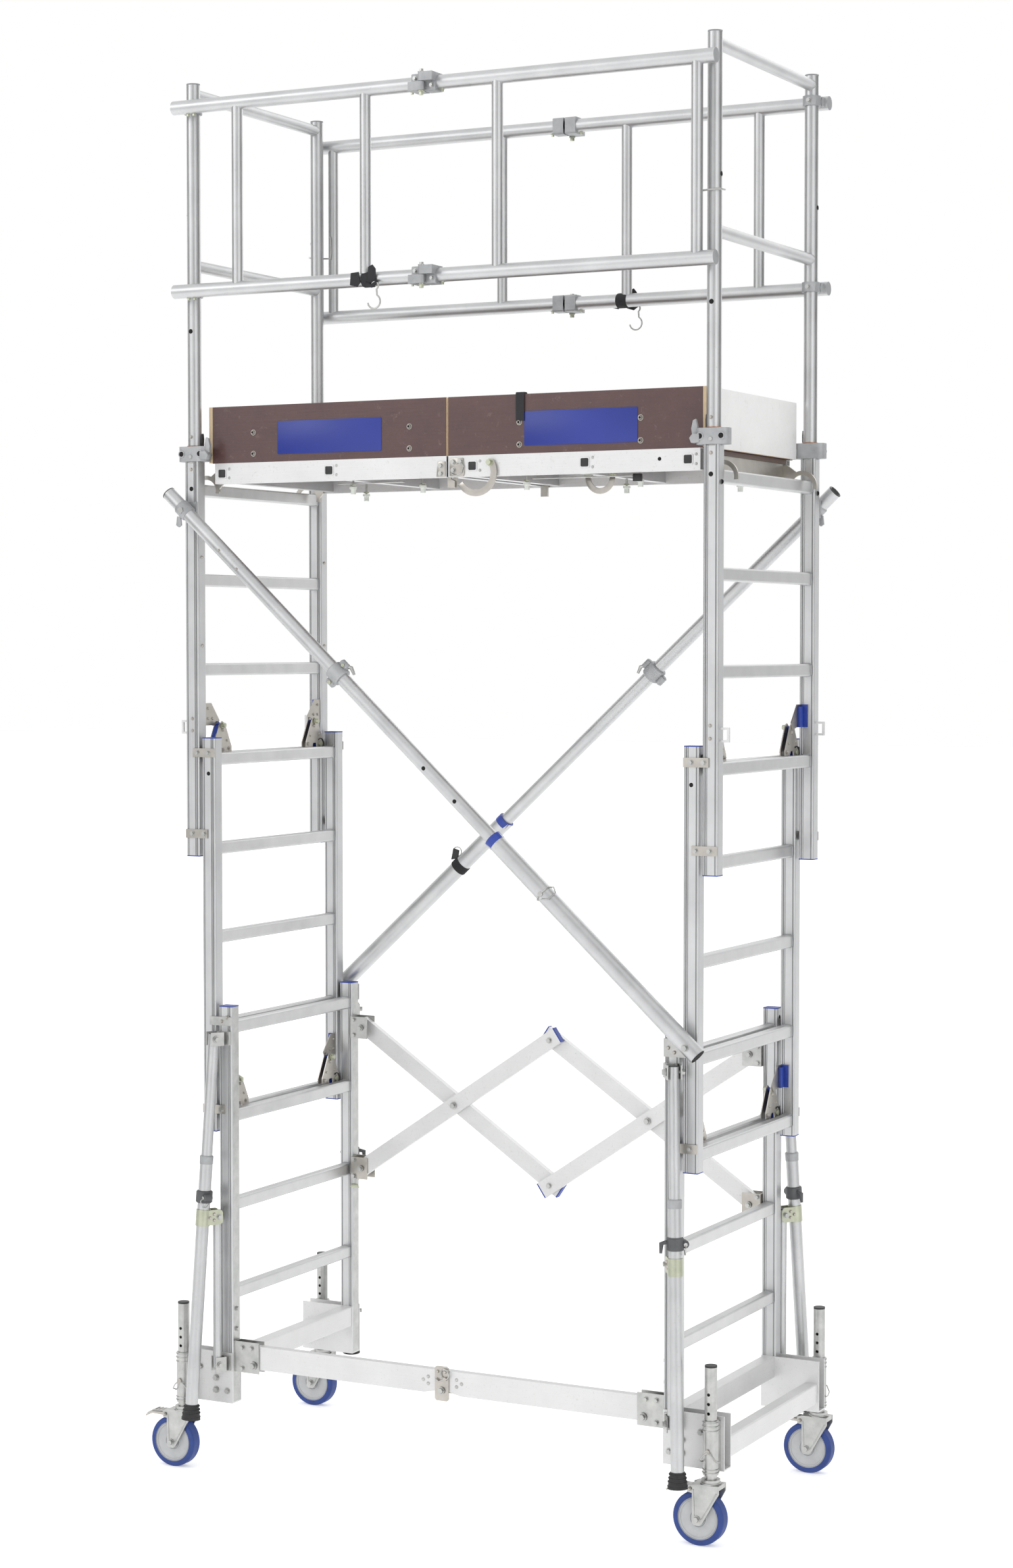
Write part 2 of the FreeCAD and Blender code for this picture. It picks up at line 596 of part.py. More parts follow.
def deck_knuckle(end):
    """One hinge plate under the middle of the deck; the left one carries the pin."""
    z0, pivot = DECK_Z[0], DECK_PIVOT_Z
    outline = [(-14, z0 + 20), (-2, z0 + 20), (-2, z0 - 4), (10, pivot + 9), (10, pivot - 9), (-12, pivot - 9),
               (-14, z0)]
    side = -(DECK_Y - RAIL_WIDE)
    if end == LEFT:
        return fuse(xz_plate(outline, side, side + 6), y_rod(0, pivot, side + 1, side + 13, 5.0))
    plate = xz_plate([(-x, z) for x, z in outline], side + 7, side + 13)
    spacer = block(3, 14, side, side + 13, z0, z0 + 20)
    return fuse(plate, spacer).cut(y_rod(0, pivot, side - 2, side + 15, 5.0 + FIT))


def mirrored_y(shape):
    return shape.mirror(V(0, 0, 0), V(0, 1, 0))


def hatch():
    z1 = DECK_Z[1]
    return [block(HATCH_X[0], HATCH_X[1], -HATCH_Y, HATCH_Y, z1 - DECK_PANEL, z1)]


# ---------------------------------------------------------------- guards
def post_clamp(end, face):
    """The cast lever clamp where a guard post meets the top of its stile."""
    x, y = end * SECTION_X["top"], face * STILE_Y
    z0 = SECTION_Z["top"][1]
    body = block(x - CLAMP_HALF_X, x + CLAMP_HALF_X, y - CLAMP_HALF_Y, y + CLAMP_HALF_Y, z0, z0 + CLAMP_TALL)
    body = rounded(body, 18.0, V(0, 0, 1))
    return body.cut(z_rod(x, y, z0 - 1, z0 + CLAMP_TALL + 1, POST_RADIUS))


def end_guard(end):
    """Two posts, two cross rails and the clamps of one end."""
    solids = []
    x = end * SECTION_X["top"]
    z0 = SECTION_Z["top"][1]
    top = TOTAL_HEIGHT - POST_CAP
    posts = [z_rod(x, face * STILE_Y, z0, top, POST_RADIUS) for face in (FRONT, BACK)]
    for face in (FRONT, BACK):
        y = face * STILE_Y
        solids.append(pipe(V(x, y, z0), V(x, y, top), POST_RADIUS, POST_BORE))
        solids.append(z_rod(x, y, top, TOTAL_HEIGHT, POST_RADIUS))
        solids.append(post_clamp(end, face))
    for z in CROSS_RAIL_Z:
        rail = pipe(V(x, -STILE_Y, z), V(x, STILE_Y, z), CROSS_RAIL_RADIUS, CROSS_RAIL_RADIUS - 2)
        solids.append(rail.cut(posts[0]).cut(posts[1]))
    return solids


def guard_casting(x0, x1, z, knuckle_z0, knuckle_z1, bored):
    """The cast block on a rail's end at the fold, with its half of the hinge."""
    fold_x, fold_y = GUARD_FOLD
    body = block(x0, x1, GUARD_Y - 24, GUARD_Y + 22, z - 25, z + 25)
    body = rounded(body, 6.0, V(1, 0, 0))
    side = x0 if abs(x0 - fold_x) < abs(x1 - fold_x) else x1
    ear = block(side, fold_x, fold_y - 9, fold_y + 9, knuckle_z0, knuckle_z1)
    ear = fuse(ear, block(min(x0, x1), max(x0, x1), fold_y - 9, GUARD_Y - 20, knuckle_z0, knuckle_z1))
    ear = fuse(ear, z_rod(fold_x, fold_y, knuckle_z0, knuckle_z1, 9.0))
    shape = fuse(body, ear).cut(rod(V(x0, GUARD_Y, z), V(x1, GUARD_Y, z), POST_RADIUS))
    if bored:
        return shape.cut(z_rod(fold_x, fold_y, z - 40, z + 40, 4.0 + FIT))
    return fuse(shape, z_rod(fold_x, fold_y, z - 27, z + 27, 4.0))


def guard_half(half):
    """One half of the front guard: two rails, two uprights, caps and hinge castings."""
    if half == "left":
        x0, x1, cap = GUARD_LEFT_END, GUARD_FOLD[0] - 4, (GUARD_LEFT_END - 5, GUARD_LEFT_END)
        casting, knuckle = (-58.0, GUARD_FOLD[0] - 3), (-25.0, -0.5)
    else:
        x0, x1, cap = GUARD_FOLD[0] + 4, GUARD_RIGHT_END, (GUARD_RIGHT_END, GUARD_RIGHT_END + 5)
        casting, knuckle = (GUARD_FOLD[0] + 3, 18.0), (0.5, 25.0)
    solids = []
    rails = [rod(V(x0, GUARD_Y, z), V(x1, GUARD_Y, z), POST_RADIUS) for z in GUARD_RAIL_Z]
    for z in GUARD_RAIL_Z:
        solids.append(pipe(V(x0, GUARD_Y, z), V(x1, GUARD_Y, z), POST_RADIUS, POST_RADIUS - 2))
        solids.append(rod(V(cap[0], GUARD_Y, z), V(cap[1], GUARD_Y, z), POST_RADIUS))
        solids.append(guard_casting(casting[0], casting[1], z, z + knuckle[0], z + knuckle[1], half == "right"))
        if half == "left":
            post = (-SECTION_X["top"], -STILE_Y)
            ring = z_rod(post[0], post[1], z - 14, z + 14, POST_RADIUS + 6)
            bridge = block(post[0] - 15, post[0] + 15, GUARD_Y, post[1] - POST_RADIUS - 2, z - 14, z + 14)
            strap = fuse(ring, bridge).cut(z_rod(post[0], post[1], z - 20, z + 20, POST_RADIUS + FIT))
            solids.append(strap.cut(rod(V(x0, GUARD_Y, z), V(x1, GUARD_Y, z), POST_RADIUS)))
    for x in GUARD_UPRIGHT_X[half]:
        upright = pipe(V(x, GUARD_Y, GUARD_RAIL_Z[0]), V(x, GUARD_Y, GUARD_RAIL_Z[1]),
                       GUARD_UPRIGHT_RADIUS, GUARD_UPRIGHT_RADIUS - 2)
        solids.append(upright.cut(rails[0]).cut(rails[1]))
    return solids


# ---------------------------------------------------------------- stabiliser legs
def leg_point(end, face, z):
    """The point of a leg's centre line at a height."""
    t = (LEG_TOP[2] - z) / (LEG_TOP[2] - LEG_FOOT[2])
    x = LEG_TOP[0] + t * (LEG_FOOT[0] - LEG_TOP[0])
    y = LEG_TOP[1] + t * (LEG_FOOT[1] - LEG_TOP[1])
    return V(end * x, face * y, z)


def swing_axis(end, face):
    """The horizontal direction about which a leg swings; a positive turn moves its foot outwards."""
    direction = lean(end, face)
    return V(direction.y, -direction.x, 0)


def leg_upper(end, face):
    """The inner tube that hangs from the base stile."""
    top = leg_point(end, face, LEG_TOP[2])
    tube = pipe(top, leg_point(end, face, LEG_INNER_END_Z), LEG_INNER_RADIUS, LEG_INNER_RADIUS - 2)
    pivot = leg_point(end, face, LEG_TOP[2] - LEG_PIVOT_DROP)
    axis = swing_axis(end, face)
    return [tube.cut(rod(pivot - axis * 30, pivot + axis * 30, 5.0 + FIT))]


def leg_lower(end, face):
    """The outer tube that slides on the inner one, with its clamp, its strut plate and its foot."""
    mouth = leg_point(end, face, LEG_STEP_Z)
    sole = leg_point(end, face, LEG_FOOT[2])
    along = (sole - mouth).normalize()
    ankle = sole - along * FOOT_TALL
    tube = pipe(mouth, ankle, LEG_OUTER_RADIUS, LEG_INNER_RADIUS + FIT)
    foot = Part.makeCone(20.0, 28.0, FOOT_TALL, ankle, along)
    clamp_at = leg_point(end, face, 822.0)
    clamp = pipe(clamp_at - along * 16, clamp_at + along * 16, 23.0, LEG_OUTER_RADIUS)
    plate_at = leg_point(end, face, 760.0)
    ring = pipe(plate_at - along * 24, plate_at + along * 24, 21.0, LEG_OUTER_RADIUS)
    cheeks = []
    for side in (-1, 1):
        cheek = block(-56, -4, side * 15.5, side * 18.5, -22, 22)
        cheek = rounded(cheek, 12.0, V(0, 1, 0))
        cheeks.append(place_at_corner(cheek, end, face, abs(plate_at.x), abs(plate_at.y), plate_at.z))
    core = rod(plate_at - along * 60, plate_at + along * 60, LEG_OUTER_RADIUS)
    return [tube, foot, clamp, fuse(ring, *cheeks).cut(core)]


def leg_strut(end, face):
    """The tube from the base frame to the leg's plate."""
    direction = lean(end, face)
    x = LEG_TOP[0] - STRUT_INSET * abs(direction.x)
    y = LEG_TOP[1] - STRUT_INSET * abs(direction.y)
    tube = pipe(V(end * x, face * y, STRUT_Z[0]), V(end * x, face * y, STRUT_Z[1]), STRUT_RADIUS, STRUT_RADIUS - 2)
    pivot = V(end * x, face * y, STRUT_PIVOT_Z)
    axis = swing_axis(end, face)
    return [tube.cut(rod(pivot - axis * 30, pivot + axis * 30, 4.0 + FIT))]


# ---------------------------------------------------------------- castors
def castor_stem(end, face):
    """The tube in the socket, with its pin holes, cap, flange and swivel pin."""
    x, y = end * SOCKET_X, face * SOCKET_Y
    tube = pipe(V(x, y, STEM_Z[0]), V(x, y, STEM_Z[1]), STEM_RADIUS, STEM_RADIUS - 2.5)
    for number in range(STEM_HOLES):
        z = STEM_HOLE_TOP - number * STEM_HOLE_PITCH
        tube = tube.cut(y_rod(x, z, y - 30, y + 30, 4.5))
    cap = z_rod(x, y, STEM_Z[1], STEM_CAP_TOP, STEM_RADIUS)
    flange = z_rod(x, y, STEM_Z[0] - 8, STEM_Z[0], 26.0)
    pin = z_rod(x, y, STEM_Z[0] - 26, STEM_Z[0] - 8, AXLE_RADIUS)
    return [tube, cap, fuse(flange, pin)]


def castor_fork(end, face):
    """The swivelling fork with its race, its blades, its ears for the pedal and the wheel's axle."""
    x, y = end * SOCKET_X, face * SOCKET_Y
    top_plate = rounded(block(x - 44, x + 34, y - 27, y + 27, 160, 172), 10.0, V(0, 0, 1))
    race = z_rod(x, y, 172, 175.5, 28.0)
    outline = [(-44, 172), (34, 172), (34, 150), (-14, 64), (-22, 58), (-38, 58), (-44, 64), (-44, 146),
               (-58, 148), (-58, 166)]
    blades = [xz_plate([(x + px, pz) for px, pz in outline], y + side * BLADE_INSIDE,
                       y + side * (BLADE_INSIDE + BLADE_THICK)) for side in (-1, 1)]
    body = fuse(top_plate, race, *blades)
    body = body.cut(z_rod(x, y, 150, 180, AXLE_RADIUS + FIT))
    body = body.cut(y_rod(x + PEDAL_PIVOT[0], PEDAL_PIVOT[1], y - 40, y + 40, 4.0 + FIT))
    axle = y_rod(x - CASTOR_TRAIL, WHEEL_RADIUS, y - 31, y + 31, AXLE_RADIUS)
    return [fuse(body, axle)]


def castor_wheel(end, face):
    """The tyre, the hub disc and its bore."""
    x, y = end * SOCKET_X - CASTOR_TRAIL, face * SOCKET_Y
    half = TYRE_WIDE / 2
    tyre = y_rod(x, WHEEL_RADIUS, y - half, y + half, WHEEL_RADIUS)
    tyre = tyre.cut(y_rod(x, WHEEL_RADIUS, y - half, y + half, TYRE_INNER))
    rims = [e for e in tyre.Edges if abs(e.Length - 2 * math.pi * WHEEL_RADIUS) < 1]
    tyre = tyre.makeFillet(6.0, rims)
    hub = y_rod(x, WHEEL_RADIUS, y - half + 3, y + half - 3, TYRE_INNER)
    boss = y_rod(x, WHEEL_RADIUS, y - half - 1.5, y + half + 1.5, 16.0)
    hub = fuse(hub, boss).cut(y_rod(x, WHEEL_RADIUS, y - 40, y + 40, AXLE_RADIUS + FIT))
    return [tyre, hub]


def brake_pedal(end, face):
    """The pressed plate above the trailing side of the wheel, on its own cross pin."""
    x, y = end * SOCKET_X, face * SOCKET_Y
    outline = [(-46, 151.5), (-46, 160), (-104, 158), (-124, 146), (-122, 142), (-102, 153), (-60, 151.5)]
    plate = xz_plate([(x + px, pz) for px, pz in outline], y - 21, y + 21)
    pin = y_rod(x + PEDAL_PIVOT[0], PEDAL_PIVOT[1], y - 30, y + 30, 4.0)
    return [fuse(plate, pin)]


# ---------------------------------------------------------------- all nodes
def all_nodes():
    nodes = {}
    for end in (LEFT, RIGHT):
        name = END_NAMES[end]
        nodes[name + "_base_frame"] = base_frame(end)
        nodes[name + "_mid_frame"] = sliding_frame(end, "mid")
        nodes[name + "_top_frame"] = sliding_frame(end, "top")
        nodes[name + "_mid_latch"] = latch(end, "mid")
        nodes[name + "_top_latch"] = latch(end, "top")
        nodes[name + "_fold_bar"] = fold_bar(end)
        falling, rising = scissor_pair(end)
        nodes[name + "_scissor_falling_bar"] = falling
        nodes[name + "_scissor_rising_bar"] = rising
        nodes[name + "_scissor_slider"] = [scissor_bracket(end, SCISSOR_LOW_Z, False)]
        nodes[name + "_deck_half"] = deck_half(end)
        nodes[name + "_end_guard"] = end_guard(end)
        for face in (FRONT, BACK):
            corner = FACE_NAMES[face] + "_" + name
            nodes[corner + "_leg_upper_tube"] = leg_upper(end, face)
            nodes[corner + "_leg_lower_tube"] = leg_lower(end, face)
            nodes[corner + "_leg_strut"] = leg_strut(end, face)
            nodes[corner + "_castor_stem"] = castor_stem(end, face)
            nodes[corner + "_castor_fork"] = castor_fork(end, face)
            nodes[corner + "_castor_wheel"] = castor_wheel(end, face)
            nodes[corner + "_brake_pedal"] = brake_pedal(end, face)
    nodes["deck_hatch"] = hatch()
    nodes["front_brace_upper_tube"] = brace_inner()
    nodes["front_brace_lower_tube"] = brace_outer()
    nodes["back_brace_upper_tube"] = [half_turn(s) for s in brace_inner()]
    nodes["back_brace_lower_tube"] = [half_turn(s) for s in brace_outer()]
    nodes["front_guard_left_half"] = guard_half("left")
    nodes["front_guard_right_half"] = guard_half("right")
    nodes["back_guard_right_half"] = [half_turn(s) for s in guard_half("left")]
    nodes["back_guard_left_half"] = [half_turn(s) for s in guard_half("right")]
    return nodes


def export_nodes():
    os.makedirs("parts", exist_ok=True)
    whole = FreeCAD.BoundBox()
    for name, solids in all_nodes().items():
        shape = Part.makeCompound(solids)
        shape.translate(V(SHIFT_X, 0, 0))
        shape.exportStep("parts/" + name + ".step")
        whole.add(shape.BoundBox)
    print("box", [round(v, 2) for v in (whole.XMin, whole.XMax, whole.YMin, whole.YMax, whole.ZMin, whole.ZMax)])


export_nodes()
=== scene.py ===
"""Mobile tower scaffold: finishes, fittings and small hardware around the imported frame."""
import math

import bmesh
import bpy
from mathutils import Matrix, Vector


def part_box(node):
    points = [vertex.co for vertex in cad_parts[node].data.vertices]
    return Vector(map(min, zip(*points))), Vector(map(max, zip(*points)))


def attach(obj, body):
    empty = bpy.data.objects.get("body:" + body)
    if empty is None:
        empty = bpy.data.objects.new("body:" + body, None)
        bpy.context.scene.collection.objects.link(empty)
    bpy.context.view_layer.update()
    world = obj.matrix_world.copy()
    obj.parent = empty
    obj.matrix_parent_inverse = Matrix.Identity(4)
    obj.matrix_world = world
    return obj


bl_info = {
    "name": "Mobile tower scaffold",
    "version": (1, 0, 0),
    "blender": (4, 5, 0),
    "location": "View3D > Sidebar > Scaffold",
    "description": "Finishes and fittings of a folding mobile tower scaffold",
    "category": "Object",
}

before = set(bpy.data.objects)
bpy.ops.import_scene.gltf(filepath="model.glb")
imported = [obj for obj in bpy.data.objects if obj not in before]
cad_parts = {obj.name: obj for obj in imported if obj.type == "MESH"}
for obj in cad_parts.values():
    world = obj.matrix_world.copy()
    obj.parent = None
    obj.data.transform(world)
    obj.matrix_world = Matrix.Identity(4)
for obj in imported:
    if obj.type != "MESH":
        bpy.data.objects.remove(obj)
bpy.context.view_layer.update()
SHIFT = 500.0 * (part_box("left_base_frame")[0][0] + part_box("right_base_frame")[1][0])

LEFT, RIGHT, FRONT, BACK = -1, 1, -1, 1
ENDS = {LEFT: "left", RIGHT: "right"}
FACES = {FRONT: "front", BACK: "back"}
SECTION_X = {"base": 720.0, "mid": 775.0, "top": 830.0}
RUNGS = {"base": range(0, 4), "mid": range(2, 7), "top": range(6, 10)}
LATCH_RUNG = {"mid": 2, "top": 6}
X, Y, Z = Vector((1, 0, 0)), Vector((0, 1, 0)), Vector((0, 0, 1))
# Millimetres from the middle of the tower, or above the floor
LOWEST_RUNG, RUNG_STEP = 525.0, 263.5
STILE_Y, STILE_SKIN, POST_X, DECK_SKIN = 350, 374, 830, 322
GUARD_Y, GUARD_RAILS = 400, (3473, 4005)
CASTOR_X, CASTOR_Y, AXLE_BACK, AXLE_Z = 852, 400, 30, 75
SCISSOR_LOW, SCISSOR_MIDDLE, SCISSOR_HIGH, SCISSOR_REACH = 795, 1017.5, 1240, 660


def rung_z(number):
    """Height of a rung, counted from the lowest."""
    return LOWEST_RUNG + number * RUNG_STEP


def place(x, y, z):
    """A point given in the maker's millimetres, as metres in the shared frame."""
    return Vector(((x + SHIFT) / 1000, y / 1000, z / 1000))


# ---------------------------------------------------------------- shader maths
class Value:
    """A node's output; arithmetic on it adds Math nodes."""

    def __init__(self, shader, socket):
        self.shader = shader
        self.socket = socket

    def math(self, operation, *others):
        return self.shader.node("ShaderNodeMath", {"operation": operation}, 0, self, *others)

    def __add__(self, other):
        return self.math("ADD", other)

    __radd__ = __add__

    def __mul__(self, other):
        return self.math("MULTIPLY", other)

    __rmul__ = __mul__

    def __sub__(self, other):
        return self.math("SUBTRACT", other)

    def __rsub__(self, other):
        return self.shader.node("ShaderNodeMath", {"operation": "SUBTRACT"}, 0, other, self)

    def __truediv__(self, other):
        return self.math("DIVIDE", other)

    def __abs__(self):
        return self.math("ABSOLUTE")

    def clipped(self):
        return self.math("MAXIMUM", 0.0).math("MINIMUM", 1.0)

    def near(self, centre, width):
        """1 where the value is at the centre, falling to 0 at the width."""
        return (1.0 - abs(self - centre) / width).clipped()


class Shader:
    """One procedural material, built from Principled BSDF inwards."""

    def __init__(self, name):
        self.material = bpy.data.materials.new(name)
        self.material.use_nodes = True
        self.tree = self.material.node_tree
        self.surface = self.tree.nodes["Principled BSDF"]
        self.coords = self.node("ShaderNodeTexCoord", {}, "Object")

    def node(self, kind, settings, output, *inputs, **named):
        made = self.tree.nodes.new(kind)
        for key, value in settings.items():
            setattr(made, key, value)
        for slot, value in list(enumerate(inputs)) + list(named.items()):
            self.feed(made.inputs[slot], value)
        return Value(self, made.outputs[output])

    def feed(self, socket, value):
        if isinstance(value, Value):
            self.tree.links.new(value.socket, socket)
        elif value is not None:
            socket.default_value = value

    def axis(self, name):
        return self.node("ShaderNodeSeparateXYZ", {}, name, self.coords)

    def stretched(self, scale):
        """Object coordinates scaled differently along each axis."""
        return self.node("ShaderNodeVectorMath", {"operation": "MULTIPLY"}, 0, self.coords, scale)

    def noise(self, scale, detail=3.0, rough=0.5, vector=None):
        return self.node("ShaderNodeTexNoise", {}, "Fac", Vector=vector or self.coords,
                         Scale=scale, Detail=detail, Roughness=rough)

    def tone(self, mask, dark, light):
        """A colour between two, by a mask."""
        made = self.tree.nodes.new("ShaderNodeMix")
        made.data_type = "RGBA"
        for slot, value in ((0, mask), (6, rgba(dark)), (7, rgba(light))):
            self.feed(made.inputs[slot], value)
        return Value(self, made.outputs[2])

    def bump(self, height, distance, strength=1.0):
        return self.node("ShaderNodeBump", {}, "Normal", Height=height, Distance=distance, Strength=strength)

    def finish(self, colour, roughness, metallic=0.0, normal=None, **constants):
        if not isinstance(colour, Value):
            colour = rgba(colour)
        for name, value in (("Base Color", colour), ("Roughness", roughness), ("Metallic", metallic),
                            ("Normal", normal)):
            self.feed(self.surface.inputs[name], value)
        for name, value in constants.items():
            self.surface.inputs[name.replace("_", " ")].default_value = value
        return self.material


def rgba(colour):
    """A plain colour as four numbers; anything else passes through."""
    return (*colour, 1.0) if isinstance(colour, tuple) and len(colour) == 3 else colour


# ---------------------------------------------------------------- finishes
def drawn_aluminium(name, along, light, dark=(0.43, 0.435, 0.44), rough=0.28, metal=0.88, fine=420.0):
    """Extruded tube: fine lines along its length, handling smudges and a little dirt."""
    s = Shader(name)
    lines = s.noise(1.0, 2.0, 0.6, s.stretched([(6.0 if axis == along else fine) for axis in "xyz"]))
    smudge = s.noise(7.0, 5.0, 0.6)
    speck = s.noise(160.0, 2.0)
    tone = (smudge * 0.9 + lines * 0.35 - 0.12).clipped()
    dirt = ((speck - 0.62) * 6.0).clipped() * smudge * 0.5
    return s.finish(s.tone(dirt, s.tone(tone, dark, light), (0.30, 0.29, 0.27)),
                    rough + lines * 0.16 + smudge * 0.10, metal, s.bump(lines + speck * 0.3, 0.0002))


def grooved_stile(name, centre):
    """The upright section: two grooves and a raised bead run down each broad face. The grooves are painted
    near-black as painted shade, and the bead is painted lighter as a painted highlight.
    """
    s = Shader(name)
    across = abs(s.axis("X") - SHIFT / 1000) * 1000.0 - centre
    lines = s.noise(1.0, 2.0, 0.6, s.stretched((420.0, 420.0, 5.0)))
    smudge = s.noise(6.0, 5.0, 0.62)
    # Painted shade in the grooves and a painted highlight on the bead: the groove mask darkens the colour
    # towards near-black, and the bead lifts the tone.
    groove = across.near(-14.5, 2.5) + across.near(-9.0, 1.3) + across.near(15.5, 2.3)
    bead = across.near(-12.0, 1.5) + across.near(-17.5, 1.4)
    tone = (smudge * 0.85 + lines * 0.30 + bead * 0.3 - 0.1).clipped()
    colour = s.tone((groove * 0.85).clipped(), s.tone(tone, (0.46, 0.465, 0.47), (0.75, 0.755, 0.76)),
                    (0.10, 0.105, 0.11))
    return s.finish(colour, 0.28 + lines * 0.16 + smudge * 0.10 + groove * 0.2, 0.86,
                    s.bump(lines * 0.15 + bead - groove, 0.0008))


def ribbed_rung(name):
    """Rung section with anti-slip ribs along it. The rib crests are painted lighter and the troughs darker,
    as painted highlight and painted shade.
    """
    s = Shader(name)
    ribs = s.node("ShaderNodeTexWave", {"wave_type": "BANDS", "bands_direction": "X", "wave_profile": "SIN"},
                  "Fac", Vector=s.coords, Scale=62.0)
    smudge = s.noise(14.0, 4.0)
    # The smudge gives random tone; the ribs add painted shade in the troughs and a painted highlight on the
    # crests.
    tone = (smudge * 0.7 + ribs * 0.35).clipped()
    return s.finish(s.tone(tone, (0.42, 0.425, 0.43), (0.74, 0.74, 0.74)), 0.30 + smudge * 0.22, 0.88,
                    s.bump(ribs, 0.0006))


def plated_steel(name, light, dark, rough=0.26, patch=26.0):
    """Zinc or nickel plating: cloudy bloom, fine pits and light wear."""
    s = Shader(name)
    bloom = s.noise(patch, 4.0, 0.65)
    pits = s.noise(330.0, 2.0)
    return s.finish(s.tone((bloom * 1.6 - 0.35).clipped(), dark, light), rough + bloom * 0.22, 0.92,
                    s.bump(bloom * 0.4 + pits * 0.35, 0.0003))


def cast_metal(name, light, dark, rough=0.5, metal=0.55):
    """Sand-cast grey metal with a pebbled skin."""
    s = Shader(name)
    skin = s.noise(260.0, 3.0, 0.7)
    blotch = s.noise(24.0, 4.0)
    return s.finish(s.tone((blotch * 1.2 + skin * 0.3 - 0.3).clipped(), dark, light),
                    rough + skin * 0.15, metal, s.bump(skin, 0.0008))


def phenolic_board(name, light, dark, rough=0.30):
    """Film-faced plywood: mottled film with faint grain and scuffs."""
    s = Shader(name)
    mottle = s.noise(9.0, 6.0, 0.7)
    fine = s.noise(120.0, 4.0, 0.7)
    grain = s.noise(1.0, 3.0, 0.6, s.stretched((8.0, 160.0, 160.0)))
    scuff = ((s.noise(38.0, 5.0, 0.75) - 0.60) * 6.0).clipped()
    colour = s.tone((mottle * 0.8 + fine * 0.35 + grain * 0.25 - 0.2).clipped(), dark, light)
    colour = s.tone(scuff * 0.25, colour, (0.36, 0.29, 0.25))
    return s.finish(colour, rough + mottle * 0.16 + scuff * 0.2, 0.0, s.bump(fine * 0.5 + grain, 0.0003),
                    Coat_Weight=0.25, Coat_Roughness=0.3)


def ply_edge(name):
    """Cut edge of plywood: thin layers of alternate grain."""
    s = Shader(name)
    layers = s.node("ShaderNodeTexWave", {"wave_type": "BANDS", "bands_direction": "X"}, "Fac",
                    Vector=s.coords, Scale=150.0, Distortion=1.0)
    grain = s.noise(60.0, 4.0, 0.7)
    return s.finish(s.tone((layers * 0.6 + grain * 0.5).clipped(), (0.42, 0.29, 0.16), (0.78, 0.64, 0.43)),
                    0.6 + grain * 0.15, 0.0, s.bump(layers + grain, 0.0004))


def moulded(name, light, dark, rough=0.42, grain=240.0, depth=0.0003, patch=30.0):
    """Moulded plastic or rubber with a fine grain and slight fading."""
    s = Shader(name)
    fade = s.noise(patch, 4.0)
    skin = s.noise(grain, 3.0, 0.6)
    return s.finish(s.tone((fade * 1.3 - 0.15).clipped(), dark, light), rough + skin * 0.14, 0.0,
                    s.bump(skin, depth))


def woven_webbing(name):
    """Black polyester webbing with a twill weave."""
    s = Shader(name)
    weft = s.node("ShaderNodeTexWave", {"bands_direction": "Z"}, "Fac", Vector=s.coords, Scale=260.0)
    warp = s.node("ShaderNodeTexWave", {"bands_direction": "DIAGONAL"}, "Fac", Vector=s.coords, Scale=180.0)
    weave = weft * 0.6 + warp * 0.4
    return s.finish(s.tone(weave, (0.006, 0.006, 0.007), (0.045, 0.045, 0.05)), 0.75 + weave * 0.1, 0.0,
                    s.bump(weave, 0.0006))


